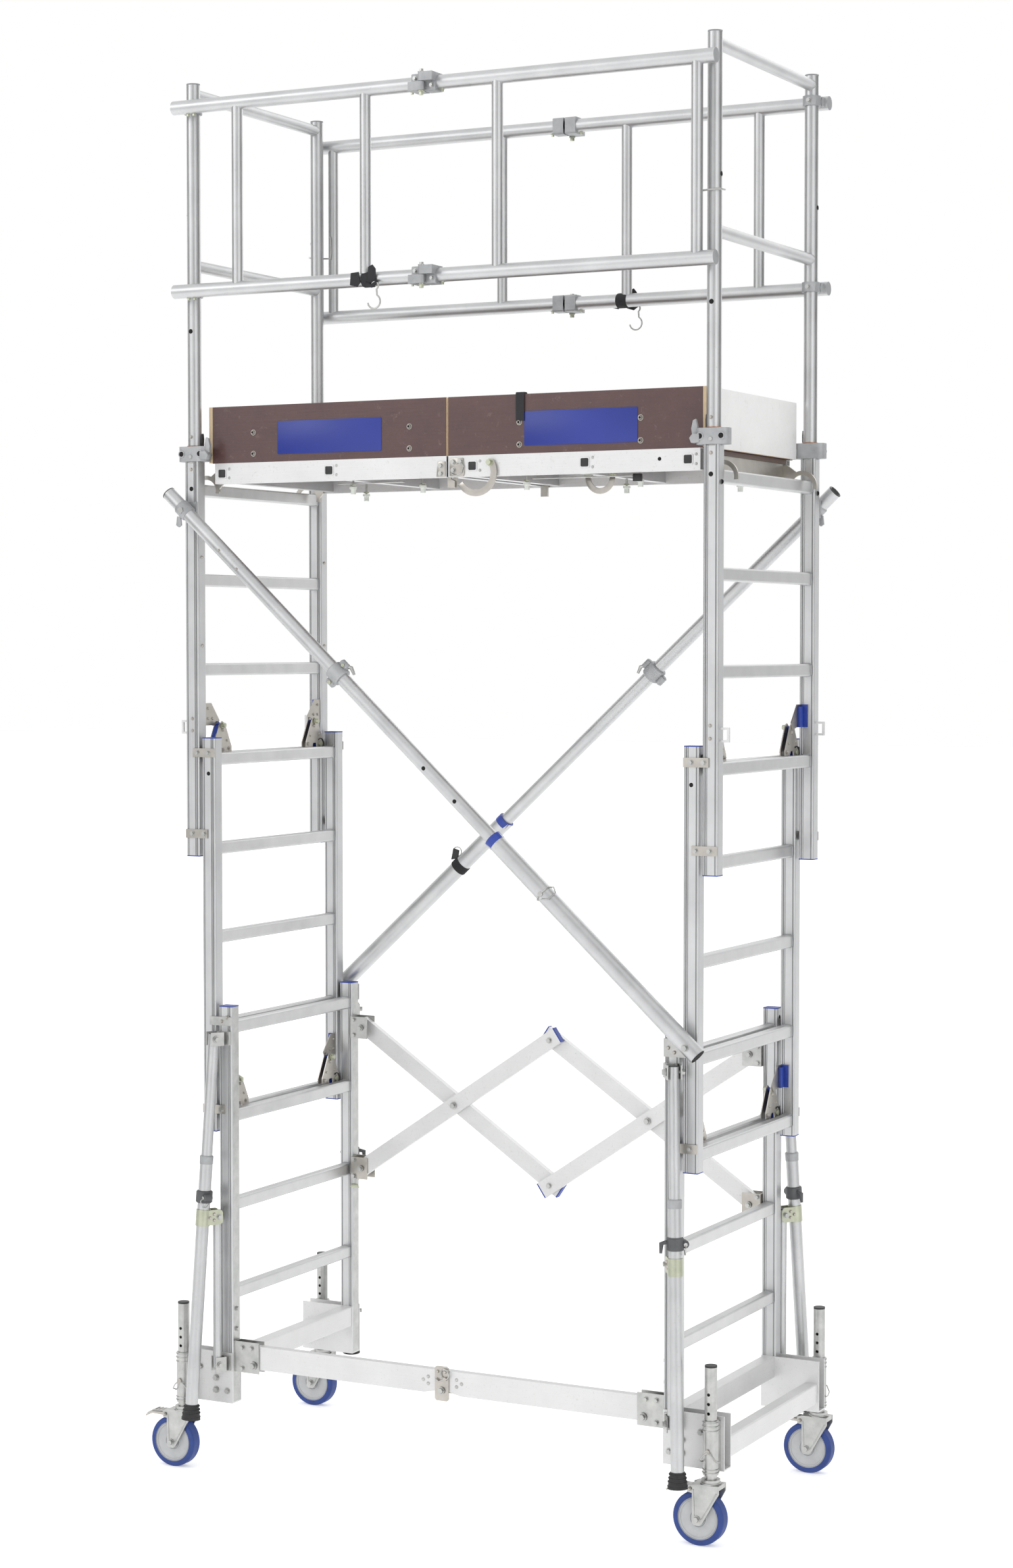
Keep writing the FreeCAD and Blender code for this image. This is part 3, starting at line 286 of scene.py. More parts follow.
def make_finishes(colours):
    """Every finish by its short name, with the user's colours mixed in."""
    clean, board, plastic, panel, tyre = [tuple(getattr(colours, key)) for key in
                                          ("aluminium", "board", "plastic", "panel", "tyre")]

    def worn(colour, share):
        return tuple(part * share for part in colour)

    white_tube = dict(light=(0.78, 0.78, 0.78), dark=(0.60, 0.60, 0.60), rough=0.36, metal=0.55)
    m = {"upright": drawn_aluminium("drawn_upright", "z", clean),
         "cross": drawn_aluminium("drawn_cross", "y", clean),
         "long": drawn_aluminium("drawn_long", "x", clean),
         "pale_long": drawn_aluminium("pale_long", "x", **white_tube),
         "pale_cross": drawn_aluminium("pale_cross", "y", **white_tube), "rung": ribbed_rung("ribbed_rung"),
         "brace": drawn_aluminium("drawn_brace", "", clean, fine=22.0),
         "zinc": plated_steel("zinc_plate", (0.64, 0.64, 0.62), (0.38, 0.39, 0.38)),
         "green_zinc": plated_steel("green_zinc", (0.62, 0.63, 0.50), (0.40, 0.43, 0.33), 0.3),
         "nickel": plated_steel("nickel_plate", (0.60, 0.575, 0.53), (0.38, 0.36, 0.33), 0.22, 14.0),
         "cast": cast_metal("cast_grey", (0.52, 0.53, 0.54), (0.30, 0.31, 0.32)),
         "dark_cast": cast_metal("cast_dark", (0.15, 0.155, 0.16), (0.06, 0.062, 0.065), 0.45, 0.4),
         "board": phenolic_board("board_brown", board, worn(board, 0.41)),
         "floor_board": phenolic_board("board_floor", (0.15, 0.09, 0.07), (0.06, 0.035, 0.03), 0.5),
         "pale_board": phenolic_board("board_pale", (0.74, 0.74, 0.73), (0.60, 0.60, 0.60), 0.4),
         "ply": ply_edge("ply_edge"),
         "blue": moulded("blue_plastic", plastic, worn(plastic, 0.6), 0.36),
         "panel": moulded("blue_panel", panel, worn(panel, 0.75), 0.32, 400.0, 0.0001, 5.0),
         "tyre": moulded("blue_tyre", tyre, worn(tyre, 0.6), 0.48, 180.0, 0.0005),
         "hub": moulded("grey_hub", (0.50, 0.51, 0.52), (0.38, 0.39, 0.40), 0.45),
         "black": moulded("black_plastic", (0.035, 0.035, 0.037), (0.012, 0.012, 0.013), 0.42),
         "rubber": moulded("black_rubber", (0.04, 0.04, 0.042), (0.015, 0.015, 0.016), 0.62, 140.0, 0.0008),
         "grey_cap": moulded("grey_cap", (0.30, 0.31, 0.32), (0.20, 0.205, 0.21), 0.5),
         # Painted shade: near-black fill for holes, recesses and open tube mouths, standing for the shade
         # inside them.
         "recess_shade": moulded("painted_shade_in_recess", (0.012, 0.012, 0.012), (0.004, 0.004, 0.004), 0.85),
         "white": moulded("white_knob", (0.78, 0.80, 0.76), (0.60, 0.64, 0.58), 0.42),
         "copper": plated_steel("copper_ring", (0.60, 0.33, 0.20), (0.40, 0.20, 0.12), 0.3),
         "webbing": woven_webbing("black_webbing")}
    for section, centre in SECTION_X.items():
        m["stile_" + section] = grooved_stile("stile_" + section, centre)
    return m


finishes = {}


def paint(node, default, *rules):
    """Give a CAD node its finishes: each rule is (finish, test of a face's middle x, y, z and normal)."""
    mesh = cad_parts[node].data
    names = [default] + [name for name, _ in rules]
    mesh.materials.clear()
    for name in names:
        mesh.materials.append(finishes[name])
    for face in mesh.polygons:
        x, y, z = face.center * 1000
        index = 0
        for number, (_, test) in enumerate(rules, 1):
            if test(abs(x - SHIFT), x - SHIFT, abs(y), z, face.normal):
                index = number
                break
        face.material_index = index


def latch_middle(section):
    """Distance of a section's rung latches from the middle of the tower."""
    return (SECTION_X[section] + SECTION_X[{"mid": "base", "top": "mid"}[section]]) / 2


def paint_ladders():
    """Finishes of the ladder sections, their latches and the corner posts."""
    for end in ENDS.values():
        paint(end + "_base_frame", "rung",
              ("blue", lambda a, x, y, z, n: z > 1377.1 and y < 371),
              ("zinc", lambda a, x, y, z, n: y > 374.2 or (z > 1240 and y > 370.2)),
              ("zinc", lambda a, x, y, z, n: a < 697.6 and y > 312 and z > 290),
              ("pale_cross", lambda a, x, y, z, n: y < 326.5 and z < 360),
              ("pale_long", lambda a, x, y, z, n: z < 350.5 and (a > 743 or not 329.9 <= y <= 370.1
                                                                 or z < 204.1)),
              ("stile_base", lambda a, x, y, z, n: y > 329.9))
        for section in ("mid", "top"):
            centre, z0 = latch_middle(section), rung_z(LATCH_RUNG[section])
            foot, head = {"mid": (1008, 2167), "top": (1821, 2980)}[section]
            paint(end + "_" + section + "_frame", "rung",
                  ("blue", lambda a, x, y, z, n: z < foot or (section == "mid" and z > head)),
                  ("cast", lambda a, x, y, z, n: section == "top" and y > 370.2 and z > 2780),
                  ("nickel", lambda a, x, y, z, n: y > 370.2),
                  ("blue", lambda a, x, y, z, n: abs(a - centre) < 6.5 and 260 < y < 329
                   and z0 < z < z0 + 110),
                  ("nickel", lambda a, x, y, z, n: abs(a - centre) < 12.6 and 205 < y < 329.8),
                  ("blue", lambda a, x, y, z, n: 322 < y < 329.9 and z0 + 95 < z < z0 + 170
                   and n.z * n.z < 0.5 and a < centre + 34 and abs(n.x) < 0.5),
                  ("pale_cross", lambda a, x, y, z, n: a > 852.6),
                  ("stile_" + section, lambda a, x, y, z, n: y > 329.9))
            paint(end + "_" + section + "_latch", "nickel",
                  ("blue", lambda a, x, y, z, n: abs(a - centre) < 6.1 and y > 272))
        paint(end + "_end_guard", "upright",
              ("grey_cap", lambda a, x, y, z, n: z > 4076.1),
              ("cast", lambda a, x, y, z, n: z < 3024.1 and math.hypot(a - POST_X, y - STILE_Y) > 20.4),
              ("cast", lambda a, x, y, z, n: z < 3024.1 and abs(n.z) > 0.9),
              ("cross", lambda a, x, y, z, n: y < 335))


def paint_base_bars():
    """Finishes of the folding bar and the scissor bars."""
    for end in ENDS.values():
        paint(end + "_fold_bar", "pale_long",
              ("nickel", lambda a, x, y, z, n: a < 56 and (y > 357.3 or 342.5 < y < 351.5)))
        for bar, way, level in (("falling", 1, SCISSOR_LOW), ("rising", -1, SCISSOR_HIGH)):
            paint(end + "_scissor_" + bar + "_bar", "pale_long",
                  ("blue", lambda a, x, y, z, n: past_middle(x if end == "left" else -x, z, way,
                                                             level) > 29.9))
        paint(end + "_scissor_slider", "nickel")


def paint_braces():
    """Finishes of the diagonal braces."""
    for side in ("front", "back"):
        paint(side + "_brace_upper_tube", "brace",
              ("black", lambda a, x, y, z, n: a > 884 or (a > 880 and abs(n.x) > 0.6)),
              ("dark_cast", lambda a, x, y, z, n: abs(y - 405) > 20.3 or on_lever_clamp(a, y, z)))
        paint(side + "_brace_lower_tube", "brace",
              ("blue", lambda a, x, y, z, n: z > 1883 and on_collar(a, z)))


def past_middle(x, z, way, level):
    """How far a point of a left scissor bar lies beyond the bar's middle pivot, along the bar."""
    slope = math.atan2(SCISSOR_HIGH - SCISSOR_LOW, SCISSOR_REACH)
    return x * math.cos(slope) - way * (z - level) * math.sin(slope)


def on_lever_clamp(a, y, z):
    """Whether a point stands off a brace's tube, on its lever clamp."""
    along = (abs(a - 311) + abs(z - 2360)) < 60
    return along and math.hypot(y - 405, (z - 2360) * 0.737 - (311 - a) * 0.675) > 20.4


def on_collar(a, z):
    """Whether a point is on the plastic collar at the mouth of a brace's lower tube."""
    return 0.7375 * (a - 203) - 0.6753 * (z - 1890) < 0.5 and a < 215


def paint_deck():
    """Finishes of the deck, its toe boards and its hatch."""
    for end in ("left", "right"):
        paint(end + "_deck_half", "floor_board",
              ("nickel", lambda a, x, y, z, n: a > 786.5 and z < 2976),
              ("nickel", lambda a, x, y, z, n: a > 771.5 and y < 292 and z < 2962),
              ("nickel", lambda a, x, y, z, n: a < 14.5 and y < 297.2 and z < 2936),
              ("pale_board" if end == "right" else "board", lambda a, x, y, z,
               n: a > 797.5 and abs(n.x) > 0.9),
              ("ply", lambda a, x, y, z, n: z > 2976 and (abs(n.z) > 0.9 or (abs(n.x) > 0.9 and a < 5))),
              ("ply", lambda a, x, y, z, n: a > 780 and z > 2976 and abs(n.y) > 0.9),
              ("board", lambda a, x, y, z, n: z > 2975.2),
              ("pale_long", lambda a, x, y, z, n: y > 296.8),
              ("cross", lambda a, x, y, z, n: z < 2962.9 and y < 297))
    paint("deck_hatch", "floor_board", ("ply", lambda a, x, y, z, n: abs(n.z) < 0.5))


def off_rail(y, z):
    """Distance from the middle line of the nearer guard rail."""
    return math.hypot(y - GUARD_Y, min(abs(z - rail) for rail in GUARD_RAILS))


def paint_guards():
    """Finishes of the guard frames."""
    for side in ("front", "back"):
        for end in ("left", "right"):
            paint(side + "_guard_" + end + "_half", "long",
                  ("grey_cap", lambda a, x, y, z,
                   n: a > 849.9 and (a > 859.9 or a < 855.2) and abs(n.x) > 0.5),
                  ("cast", lambda a, x, y, z, n: a < 60 and off_rail(y, z) > 20.3),
                  ("cast", lambda a, x, y, z, n: a < 60 and abs(n.x) > 0.9),
                  ("cast", lambda a, x, y, z, n: 800 < a < 858 and y < 379.5),
                  ("upright", lambda a, x, y, z, n: 3494 < z < 3984))


def paint_legs():
    """Finishes of the stabiliser legs and their struts."""
    for _, _, _, corner in corners():
        paint(corner + "_leg_upper_tube", "upright")
        paint(corner + "_leg_lower_tube", "upright",
              ("rubber", lambda a, x, y, z, n: z < 211),
              ("dark_cast", lambda a, x, y, z, n: 804 < z < 840 and off_leg(a, y, z) > 18.8),
              ("green_zinc", lambda a, x, y, z, n: 730 < z < 790 and off_leg(a, y, z) > 18.8))
        paint(corner + "_leg_strut", "upright")


def paint_castors():
    """Finishes of the castors and their pedals."""
    for _, _, _, corner in corners():
        paint(corner + "_castor_stem", "zinc", ("black", lambda a, x, y, z, n: z > 490.1))
        paint(corner + "_castor_fork", "zinc")
        paint(corner + "_castor_wheel", "tyre", ("hub", lambda a, x, y, z, n: wheel_radius(x, z) < 59.2))
        paint(corner + "_brake_pedal", "nickel")


def off_leg(a, y, z):
    """Distance from the middle line of a stabiliser leg."""
    t = (1300 - z) / 1135
    return math.hypot(a - 739 - 45 * t, y - 402 - 65 * t)


def wheel_radius(x, z):
    """Distance from a wheel's axle."""
    centre = (CASTOR_X if x > 0 else -CASTOR_X) - AXLE_BACK
    return math.hypot(x - centre, z - AXLE_Z)


# ---------------------------------------------------------------- mesh making
class Piece:
    """A mesh put together from shapes in the maker's millimetres, riding on one body."""

    def __init__(self, name, body, *names):
        self.name, self.body, self.names = name, body, names
        self.mesh = bmesh.new()

    def faces(self, corners, polygons, finish):
        verts = [self.mesh.verts.new(place(*c)) for c in corners]
        made = [self.mesh.faces.new([verts[i] for i in p]) for p in polygons]
        for face in made:
            face.material_index = self.names.index(finish)
            face.smooth = True
        return made

    def tube(self, points, radius, finish, sides=12, closed=False):
        """A round bar along points; radius is one number or one for each point."""
        points = [Vector(p) for p in points]
        radii = radius if isinstance(radius, (list, tuple)) else [radius] * len(points)
        count = len(points)
        corners, across = [], None
        for i, point in enumerate(points):
            ahead = points[(i + 1) % count] if closed or i < count - 1 else point
            behind = points[i - 1] if closed or i else point
            along = (ahead - behind).normalized()
            if across is None:
                across = along.orthogonal().normalized()
            across = (across - along * across.dot(along)).normalized()
            other = along.cross(across)
            for k in range(sides):
                angle = 2 * math.pi * k / sides
                corners.append(point + (across * math.cos(angle) + other * math.sin(angle)) * radii[i])
        rings = count if closed else count - 1
        polygons = [[i * sides + k, i * sides + (k + 1) % sides, (i + 1) % count * sides + (k + 1) % sides,
                     (i + 1) % count * sides + k] for i in range(rings) for k in range(sides)]
        if not closed:
            polygons += [list(range(sides))[::-1], [(count - 1) * sides + k for k in range(sides)]]
        self.faces(corners, polygons, finish)

    def hoop(self, centre, u, v, radius, thick, finish, steps=20, sides=8):
        """A ring of round wire in the plane of u and v."""
        self.tube(ring(centre, u, v, radius, steps), thick, finish, sides, closed=True)

    def sleeve(self, centre, along, half, radius, mouth, finish, sides=26):
        """A short round sleeve whose ends taper to the mouth's radius over 3 mm."""
        ends = [centre + along * d for d in (-half, 3 - half, half - 3, half)]
        self.tube(ends, [mouth, radius, radius, mouth], finish, sides)

    def slab(self, outline, origin, u, v, thick, finish, bevel=0.6):
        """A flat outline in the u, v directions, thick along u x v, with softened edges."""
        w = Vector(u).cross(Vector(v)).normalized() * thick
        origin, u, v = Vector(origin), Vector(u), Vector(v)
        low = [origin + u * a + v * b for a, b in outline]
        count = len(low)
        polygons = [list(range(count))[::-1], list(range(count, 2 * count))]
        polygons += [[i, (i + 1) % count, count + (i + 1) % count, count + i] for i in range(count)]
        made = self.faces(low + [p + w for p in low], polygons, finish)
        if bevel:
            edges = {e for f in made for e in f.edges}
            bmesh.ops.bevel(self.mesh, geom=list(edges), offset=bevel / 1000, segments=2, affect="EDGES",
                            profile=0.5, material=-1, clamp_overlap=True)

    def block(self, low, high, finish, bevel=0.8):
        x0, y0, z0 = [min(pair) for pair in zip(low, high)]
        x1, y1, z1 = [max(pair) for pair in zip(low, high)]
        self.slab([(0, 0), (x1 - x0, 0), (x1 - x0, y1 - y0), (0, y1 - y0)], (x0, y0, z0), X, Y,
                  z1 - z0, finish, bevel)

    def disc(self, centre, along, radius, thick, finish, sides=20, soft=0.5):
        """A short round boss whose far edge is softened."""
        a, c = Vector(along).normalized(), Vector(centre)
        self.tube([c, c + a * max(thick - soft, 0.05), c + a * thick],
                  [radius, radius, radius - soft], finish, sides)

    def done(self):
        bmesh.ops.recalc_face_normals(self.mesh, faces=self.mesh.faces)
        data = bpy.data.meshes.new(self.name)
        self.mesh.to_mesh(data)
        self.mesh.free()
        data.set_sharp_from_angle(angle=math.radians(38))
        for name in self.names:
            data.materials.append(finishes[name])
        made = bpy.data.objects.new(self.name, data)
        bpy.context.scene.collection.objects.link(made)
        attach(made, self.body)
        return made


def arc(centre, u, v, radius, start, stop, steps=12):
    """Points on a circle in the plane of u and v, in degrees."""
    centre, u, v = Vector(centre), Vector(u), Vector(v)
    angles = [math.radians(start + (stop - start) * i / steps) for i in range(steps + 1)]
    return [centre + u * (radius * math.cos(t)) + v * (radius * math.sin(t)) for t in angles]


def ring(centre, u, v, radius, steps=20):
    """Points all round a circle."""
    return arc(centre, u, v, radius, 0, 360 - 360 / steps, steps - 1)


# ---------------------------------------------------------------- fasteners by Geometry Nodes
def fastener_tree(name, sides, head_height, washer_height, domed, finish):
    """Points carrying a direction and a size become bolts, rivets or holes; a hole is a thin near-black disc
    of painted shade.
    """
    tree = bpy.data.node_groups.new(name, "GeometryNodeTree")
    face = tree.interface
    face.new_socket("Geometry", in_out="INPUT", socket_type="NodeSocketGeometry")
    for label, value in (("Head height", head_height), ("Washer height", washer_height)):
        face.new_socket(label, in_out="INPUT", socket_type="NodeSocketFloat").default_value = value
    face.new_socket("Geometry", in_out="OUTPUT", socket_type="NodeSocketGeometry")

    def node(kind, **settings):
        made = tree.nodes.new(kind)
        for key, value in settings.items():
            setattr(made, key, value)
        return made

    def join(a, b):
        tree.links.new(a, b)

    entry, leave = node("NodeGroupInput"), node("NodeGroupOutput")
    head = node("GeometryNodeMeshCone" if domed else "GeometryNodeMeshCylinder")
    head.inputs["Vertices"].default_value = sides
    if domed:
        head.inputs["Radius Top"].default_value = 0.62
        head.inputs["Radius Bottom"].default_value = 1.0
    else:
        head.inputs["Radius"].default_value = 1.0
    join(entry.outputs["Head height"], head.inputs["Depth"])
    washer = node("GeometryNodeMeshCylinder")
    washer.inputs["Vertices"].default_value = 20
    washer.inputs["Radius"].default_value = 1.35 if not domed else 1.12
    join(entry.outputs["Washer height"], washer.inputs["Depth"])
    both = node("GeometryNodeJoinGeometry")
    if domed:
        join(head.outputs["Mesh"], both.inputs[0])
    else:
        raised = node("GeometryNodeTransform")
        combine = node("ShaderNodeCombineXYZ")
        half = node("ShaderNodeMath", operation="MULTIPLY")
        half.inputs[1].default_value = 0.5
        join(entry.outputs["Head height"], half.inputs[0])
        join(half.outputs[0], combine.inputs["Z"])
        join(combine.outputs[0], raised.inputs["Translation"])
        join(head.outputs["Mesh"], raised.inputs["Geometry"])
        join(raised.outputs[0], both.inputs[0])
    join(washer.outputs["Mesh"], both.inputs[0])
    direction = node("GeometryNodeInputNamedAttribute", data_type="FLOAT_VECTOR")
    direction.inputs["Name"].default_value = "direction"
    size = node("GeometryNodeInputNamedAttribute", data_type="FLOAT")
    size.inputs["Name"].default_value = "size"
    turn = node("FunctionNodeAlignRotationToVector", axis="Z")
    join(direction.outputs["Attribute"], turn.inputs["Vector"])
    spread = node("GeometryNodeInstanceOnPoints")
    join(entry.outputs["Geometry"], spread.inputs["Points"])
    join(both.outputs[0], spread.inputs["Instance"])
    join(turn.outputs[0], spread.inputs["Rotation"])
    join(size.outputs["Attribute"], spread.inputs["Scale"])
    real, coat = node("GeometryNodeRealizeInstances"), node("GeometryNodeSetMaterial")
    coat.inputs["Material"].default_value = finishes[finish]
    join(spread.outputs[0], real.inputs[0])
    join(real.outputs[0], coat.inputs[0])
    join(coat.outputs[0], leave.inputs[0])
    return tree


FASTENERS = {  # sides, head height, washer height, domed, finish; heights are in radii
    "bolt": (6, 1.1, 0.3, False, "zinc"),
    "nut": (6, 1.5, 0.35, False, "green_zinc"),
    "rivet": (14, 0.8, 0.16, True, "nickel"),
    "screw": (12, 0.5, 0.1, True, "zinc"),
    # A hole is only a thin disc in the near-black painted shade finish.
    "hole": (16, 0.08, 0.03, False, "recess_shade"),
    "knob": (5, 2.2, 0.8, False, "white"),
}
wanted = {}


def fasten(body, kind, radius, *spots, facing=None):
    """Ask for one fastener at each spot (x, y, z in mm), standing out along facing."""
    wanted.setdefault((body, kind), []).extend((place(*spot), Vector(facing).normalized(), radius / 1000)
                                               for spot in spots)


def make_fasteners():
    """One mesh of each kind of fastener on each body, made real from its tree."""
    trees = {kind: fastener_tree(kind + "s", *facts) for kind, facts in FASTENERS.items()}
    for (body, kind), spots in sorted(wanted.items()):
        data = bpy.data.meshes.new("points")
        data.from_pydata([s[0] for s in spots], [], [])
        data.attributes.new("direction", "FLOAT_VECTOR", "POINT").data.foreach_set(
            "vector", [c for s in spots for c in s[1]])
        data.attributes.new("size", "FLOAT", "POINT").data.foreach_set("value", [s[2] for s in spots])
        seed = bpy.data.objects.new("points", data)
        bpy.context.scene.collection.objects.link(seed)
        modifier = seed.modifiers.new("fasteners", "NODES")
        modifier.node_group = trees[kind]
        for item in trees[kind].interface.items_tree:
            if item.in_out == "INPUT" and item.socket_type == "NodeSocketFloat":
                modifier[item.identifier] = item.default_value
        evaluated = seed.evaluated_get(bpy.context.evaluated_depsgraph_get())
        plain = bpy.data.meshes.new_from_object(evaluated)
        bpy.data.objects.remove(seed)
        name = "%s_%ss" % (body, kind)
        plain.name = name
        made = bpy.data.objects.new(name, plain)
        bpy.context.scene.collection.objects.link(made)
        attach(made, body)


# ---------------------------------------------------------------- stage
def area_light(name, at, aim, size, watts):
    """A square lamp that faces a point."""
    data = bpy.data.lights.new(name, "AREA")
    data.shape, data.size, data.energy = "SQUARE", size, watts
    lamp = bpy.data.objects.new(name, data)
    lamp.location = at
    lamp.rotation_euler = (Vector(aim) - Vector(at)).to_track_quat("-Z", "Y").to_euler()
    bpy.context.scene.collection.objects.link(lamp)


def grey_flag(name, bearing, width):
    """A tall grey sheet at the side of the studio, which gives the bright metal its darker edges."""
    away = Vector((math.cos(bearing), math.sin(bearing), 0))
    foot, across = away * 9, Vector((-away.y, away.x, 0)) * width / 2
    data = bpy.data.meshes.new(name)
    data.from_pydata([foot - across, foot + across, foot + across + Z * 10, foot - across + Z * 10], [],
                     [(0, 1, 2, 3)])
    s = Shader(name)
    data.materials.append(s.finish(s.tone(s.noise(2.0), (0.10, 0.10, 0.10), (0.12, 0.12, 0.12)), 0.9))
    flag = bpy.data.objects.new(name, data)
    flag.visible_camera = flag.visible_diffuse = flag.visible_shadow = False
    bpy.context.scene.collection.objects.link(flag)


def make_stage(settings):
    """Pale floor, even white light with three lamps, grey flags and the camera."""
    scene = bpy.context.scene
    scene.view_settings.view_transform = "Standard"
    data = bpy.data.meshes.new("floor")
    data.from_pydata([(-60, -60, 0), (60, -60, 0), (60, 60, 0), (-60, 60, 0)], [], [(0, 1, 2, 3)])
    s = Shader("pale_floor")
    data.materials.append(s.finish(s.tone(s.noise(2.0), (0.90, 0.90, 0.90), (0.92, 0.92, 0.92)), 0.75,
                                     Emission_Color=(1, 1, 1, 1), Emission_Strength=0.32))
    floor = bpy.data.objects.new("floor", data)
    scene.collection.objects.link(floor)
    world = bpy.data.worlds.new("studio")
    scene.world = world
    world.use_nodes = True
    sky = world.node_tree.nodes["Background"]
    sky.inputs["Color"].default_value = (1, 1, 1, 1)
    sky.inputs["Strength"].default_value = settings.daylight
    for name, bearing, width in (("flag_right", 0.45, 9.0), ("flag_left", -2.72, 9.0),
                                 ("flag_front", -1.05, 4.5)):
        grey_flag(name, bearing, width)
    area_light("key", (-5.5, -6.5, 6.5), (0, 0, 2), 4.0, settings.key_watts)
    area_light("fill", (6.5, -5.5, 4.0), (0, 0, 2), 4.5, settings.key_watts * 0.45)
    area_light("rim", (1.0, 7.0, 6.0), (0, 0, 2.2), 5.0, settings.key_watts * 0.5)
    data = bpy.data.cameras.new("camera")
    data.sensor_fit, data.sensor_height, data.sensor_width = "VERTICAL", 36.0, 36.0
    data.lens = settings.lens
    camera = bpy.data.objects.new("camera", data)
    camera.location = settings.camera_at
    camera.rotation_euler = settings.camera_turn
    scene.collection.objects.link(camera)
    scene.camera = camera


# ---------------------------------------------------------------- hardware




def corners():
    """Each corner of the tower: end, face, the end's name and the corner's name."""
    for end in ENDS:
        for face in FACES:
            yield end, face, ENDS[end], FACES[face] + "_" + ENDS[end]


LADDER_FASTENERS = (  # section, kind, radius, side that it stands out from, spots of one corner
    ("base", "bolt", 8, "out", ((755, 374, 236), (755, 374, 272))),
    ("base", "bolt", 7, "out", ((810, 374, 300), (716, 374, 236))),
    # The hole rows give near-black discs of painted shade where the holes are.
    ("base", "hole", 4.5, "outer", ((742.5, 350, 1352),)),
    ("mid", "bolt", 6, "out", ((775, 374, 1073), (733, 374, 1073), (775, 374, 2125), (812, 374, 2125))),
    ("mid", "hole", 4.5, "out", ((775, 370, 2064), (797.5, 350, 2140))),
    ("top", "bolt", 6, "out", ((830, 374, 1886), (789, 374, 1886))),
    ("top", "rivet", 5, "out", ((830, 370, 2957), (830, 370, 2225), (830, 370, 2190), (830, 370.2, 3052))),
    ("top", "hole", 5, "out", ((830, 370, 2900), (830, 370.1, 3360), (852.5, 350, 2880))),
    ("top", "hole", 5, "outer", ((850.1, 350, 3700),)),
    ("top", "rivet", 5, "inner", ((807.5, 350, 2700), (807.5, 350, 2440))),
)


def make_ladder_hardware(sizes):
    """Weld beads at the rungs, bolts of the clips and rivets of the posts."""
    for end, name in ENDS.items():
        for section, centre in SECTION_X.items():
            body = name + "_" + section
            beads = Piece(body + "_weld_beads", body, "cast")
            for number in RUNGS[section]:
                for face in FACES:
                    x, y, z = end * centre, face * 327.8, rung_z(number)
                    loop = [(x + a, y, z + b) for a,
                            b in ((-15, -13), (-15, 13), (-10, 18), (10, 18), (15, 13),
                                                          (15, -13), (10, -18), (-10, -18))]
                    beads.tube(loop, sizes.weld_bead * 1000, "cast", 6, closed=True)
            beads.done()
    for end, face, name, _ in corners():
        facings = {"out": Y * face, "inner": -X * end, "outer": X * end}
        for section, kind, radius, side, spots in LADDER_FASTENERS:
            fasten(name + "_" + section, kind, radius, *[(end * x, face * y, z) for x, y, z in spots],
                   facing=facings[side])
        skin = 375.5 if end * face == -1 else STILE_SKIN
        fasten(name + "_base", "rivet", 5.5, (end * 712, face * skin, 1347), (end * 730, face * skin, 1335),
               facing=Y * face)
        if face == FRONT:
            fasten(name + "_base", "bolt", 6, (end * 697.5, -350, 420), (end * 697.5, -350, 480),
                   facing=-X * end)


def make_latch_hardware():
    """Rivets, pawls, bolts and plastic pads of the rung latches."""
    for end, face, name, corner in corners():
        for section in LATCH_RUNG:
            centre = latch_middle(section)
            base = rung_z(LATCH_RUNG[section]) + 6
            own = "%s_%s" % (name, section)
            body = own if face == FRONT else own + "_latch"
            for side in (-1, 1):
                x, out = end * centre + side * 9, X * side
                fasten(body, "rivet", 6, (x, face * 316, base), (x, face * 228, base + 22),
                       (x, face * 262, base + 78), facing=out)
                fasten(body, "rivet", 4, (x, face * 292, base + 50), (x, face * 240, base + 46), facing=out)
            pawl = Piece(corner + "_" + section + "_pawl", body, "green_zinc", "black", "blue")
            x = end * centre
            for side in (-1, 1):
                spot = (x + side * 9.2, face * 300, base + 20)
                pawl.disc(spot, X * side, 9, 3.2, "green_zinc", 18)
                hook = arc(spot, Y * face, Z, 17, -60, 130, 9)
                pawl.tube([p + X * side * 1.2 for p in hook], 1.5, "black", 8)
            pawl.slab([(-2, 8), (4, 6), (-38, 88), (-45, 86)], (x - 8, face * 324, base), Y * face, Z,
                      16 * face, "blue", 0.4)
            pawl.done()
            plate = end * (SECTION_X[section] - 18.1)
            fasten(own, "nut", 7, (end * (centre - 11), face * 268, base + 92), facing=-X * end)
            fasten(own, "rivet", 4.5, (plate, face * 314, base + 112), (plate, face * 314, base + 142),
                   (plate, face * 290, base + 112), facing=-X * end)
            pad = Piece(corner + "_" + section + "_latch_pad", own, "blue")
            pad.block((end * (SECTION_X[section] - 15), face * 323.8, base + 92),
                      (end * (SECTION_X[section] - 6), face * 300, base + 152), "blue", 2.0)
            pad.done()


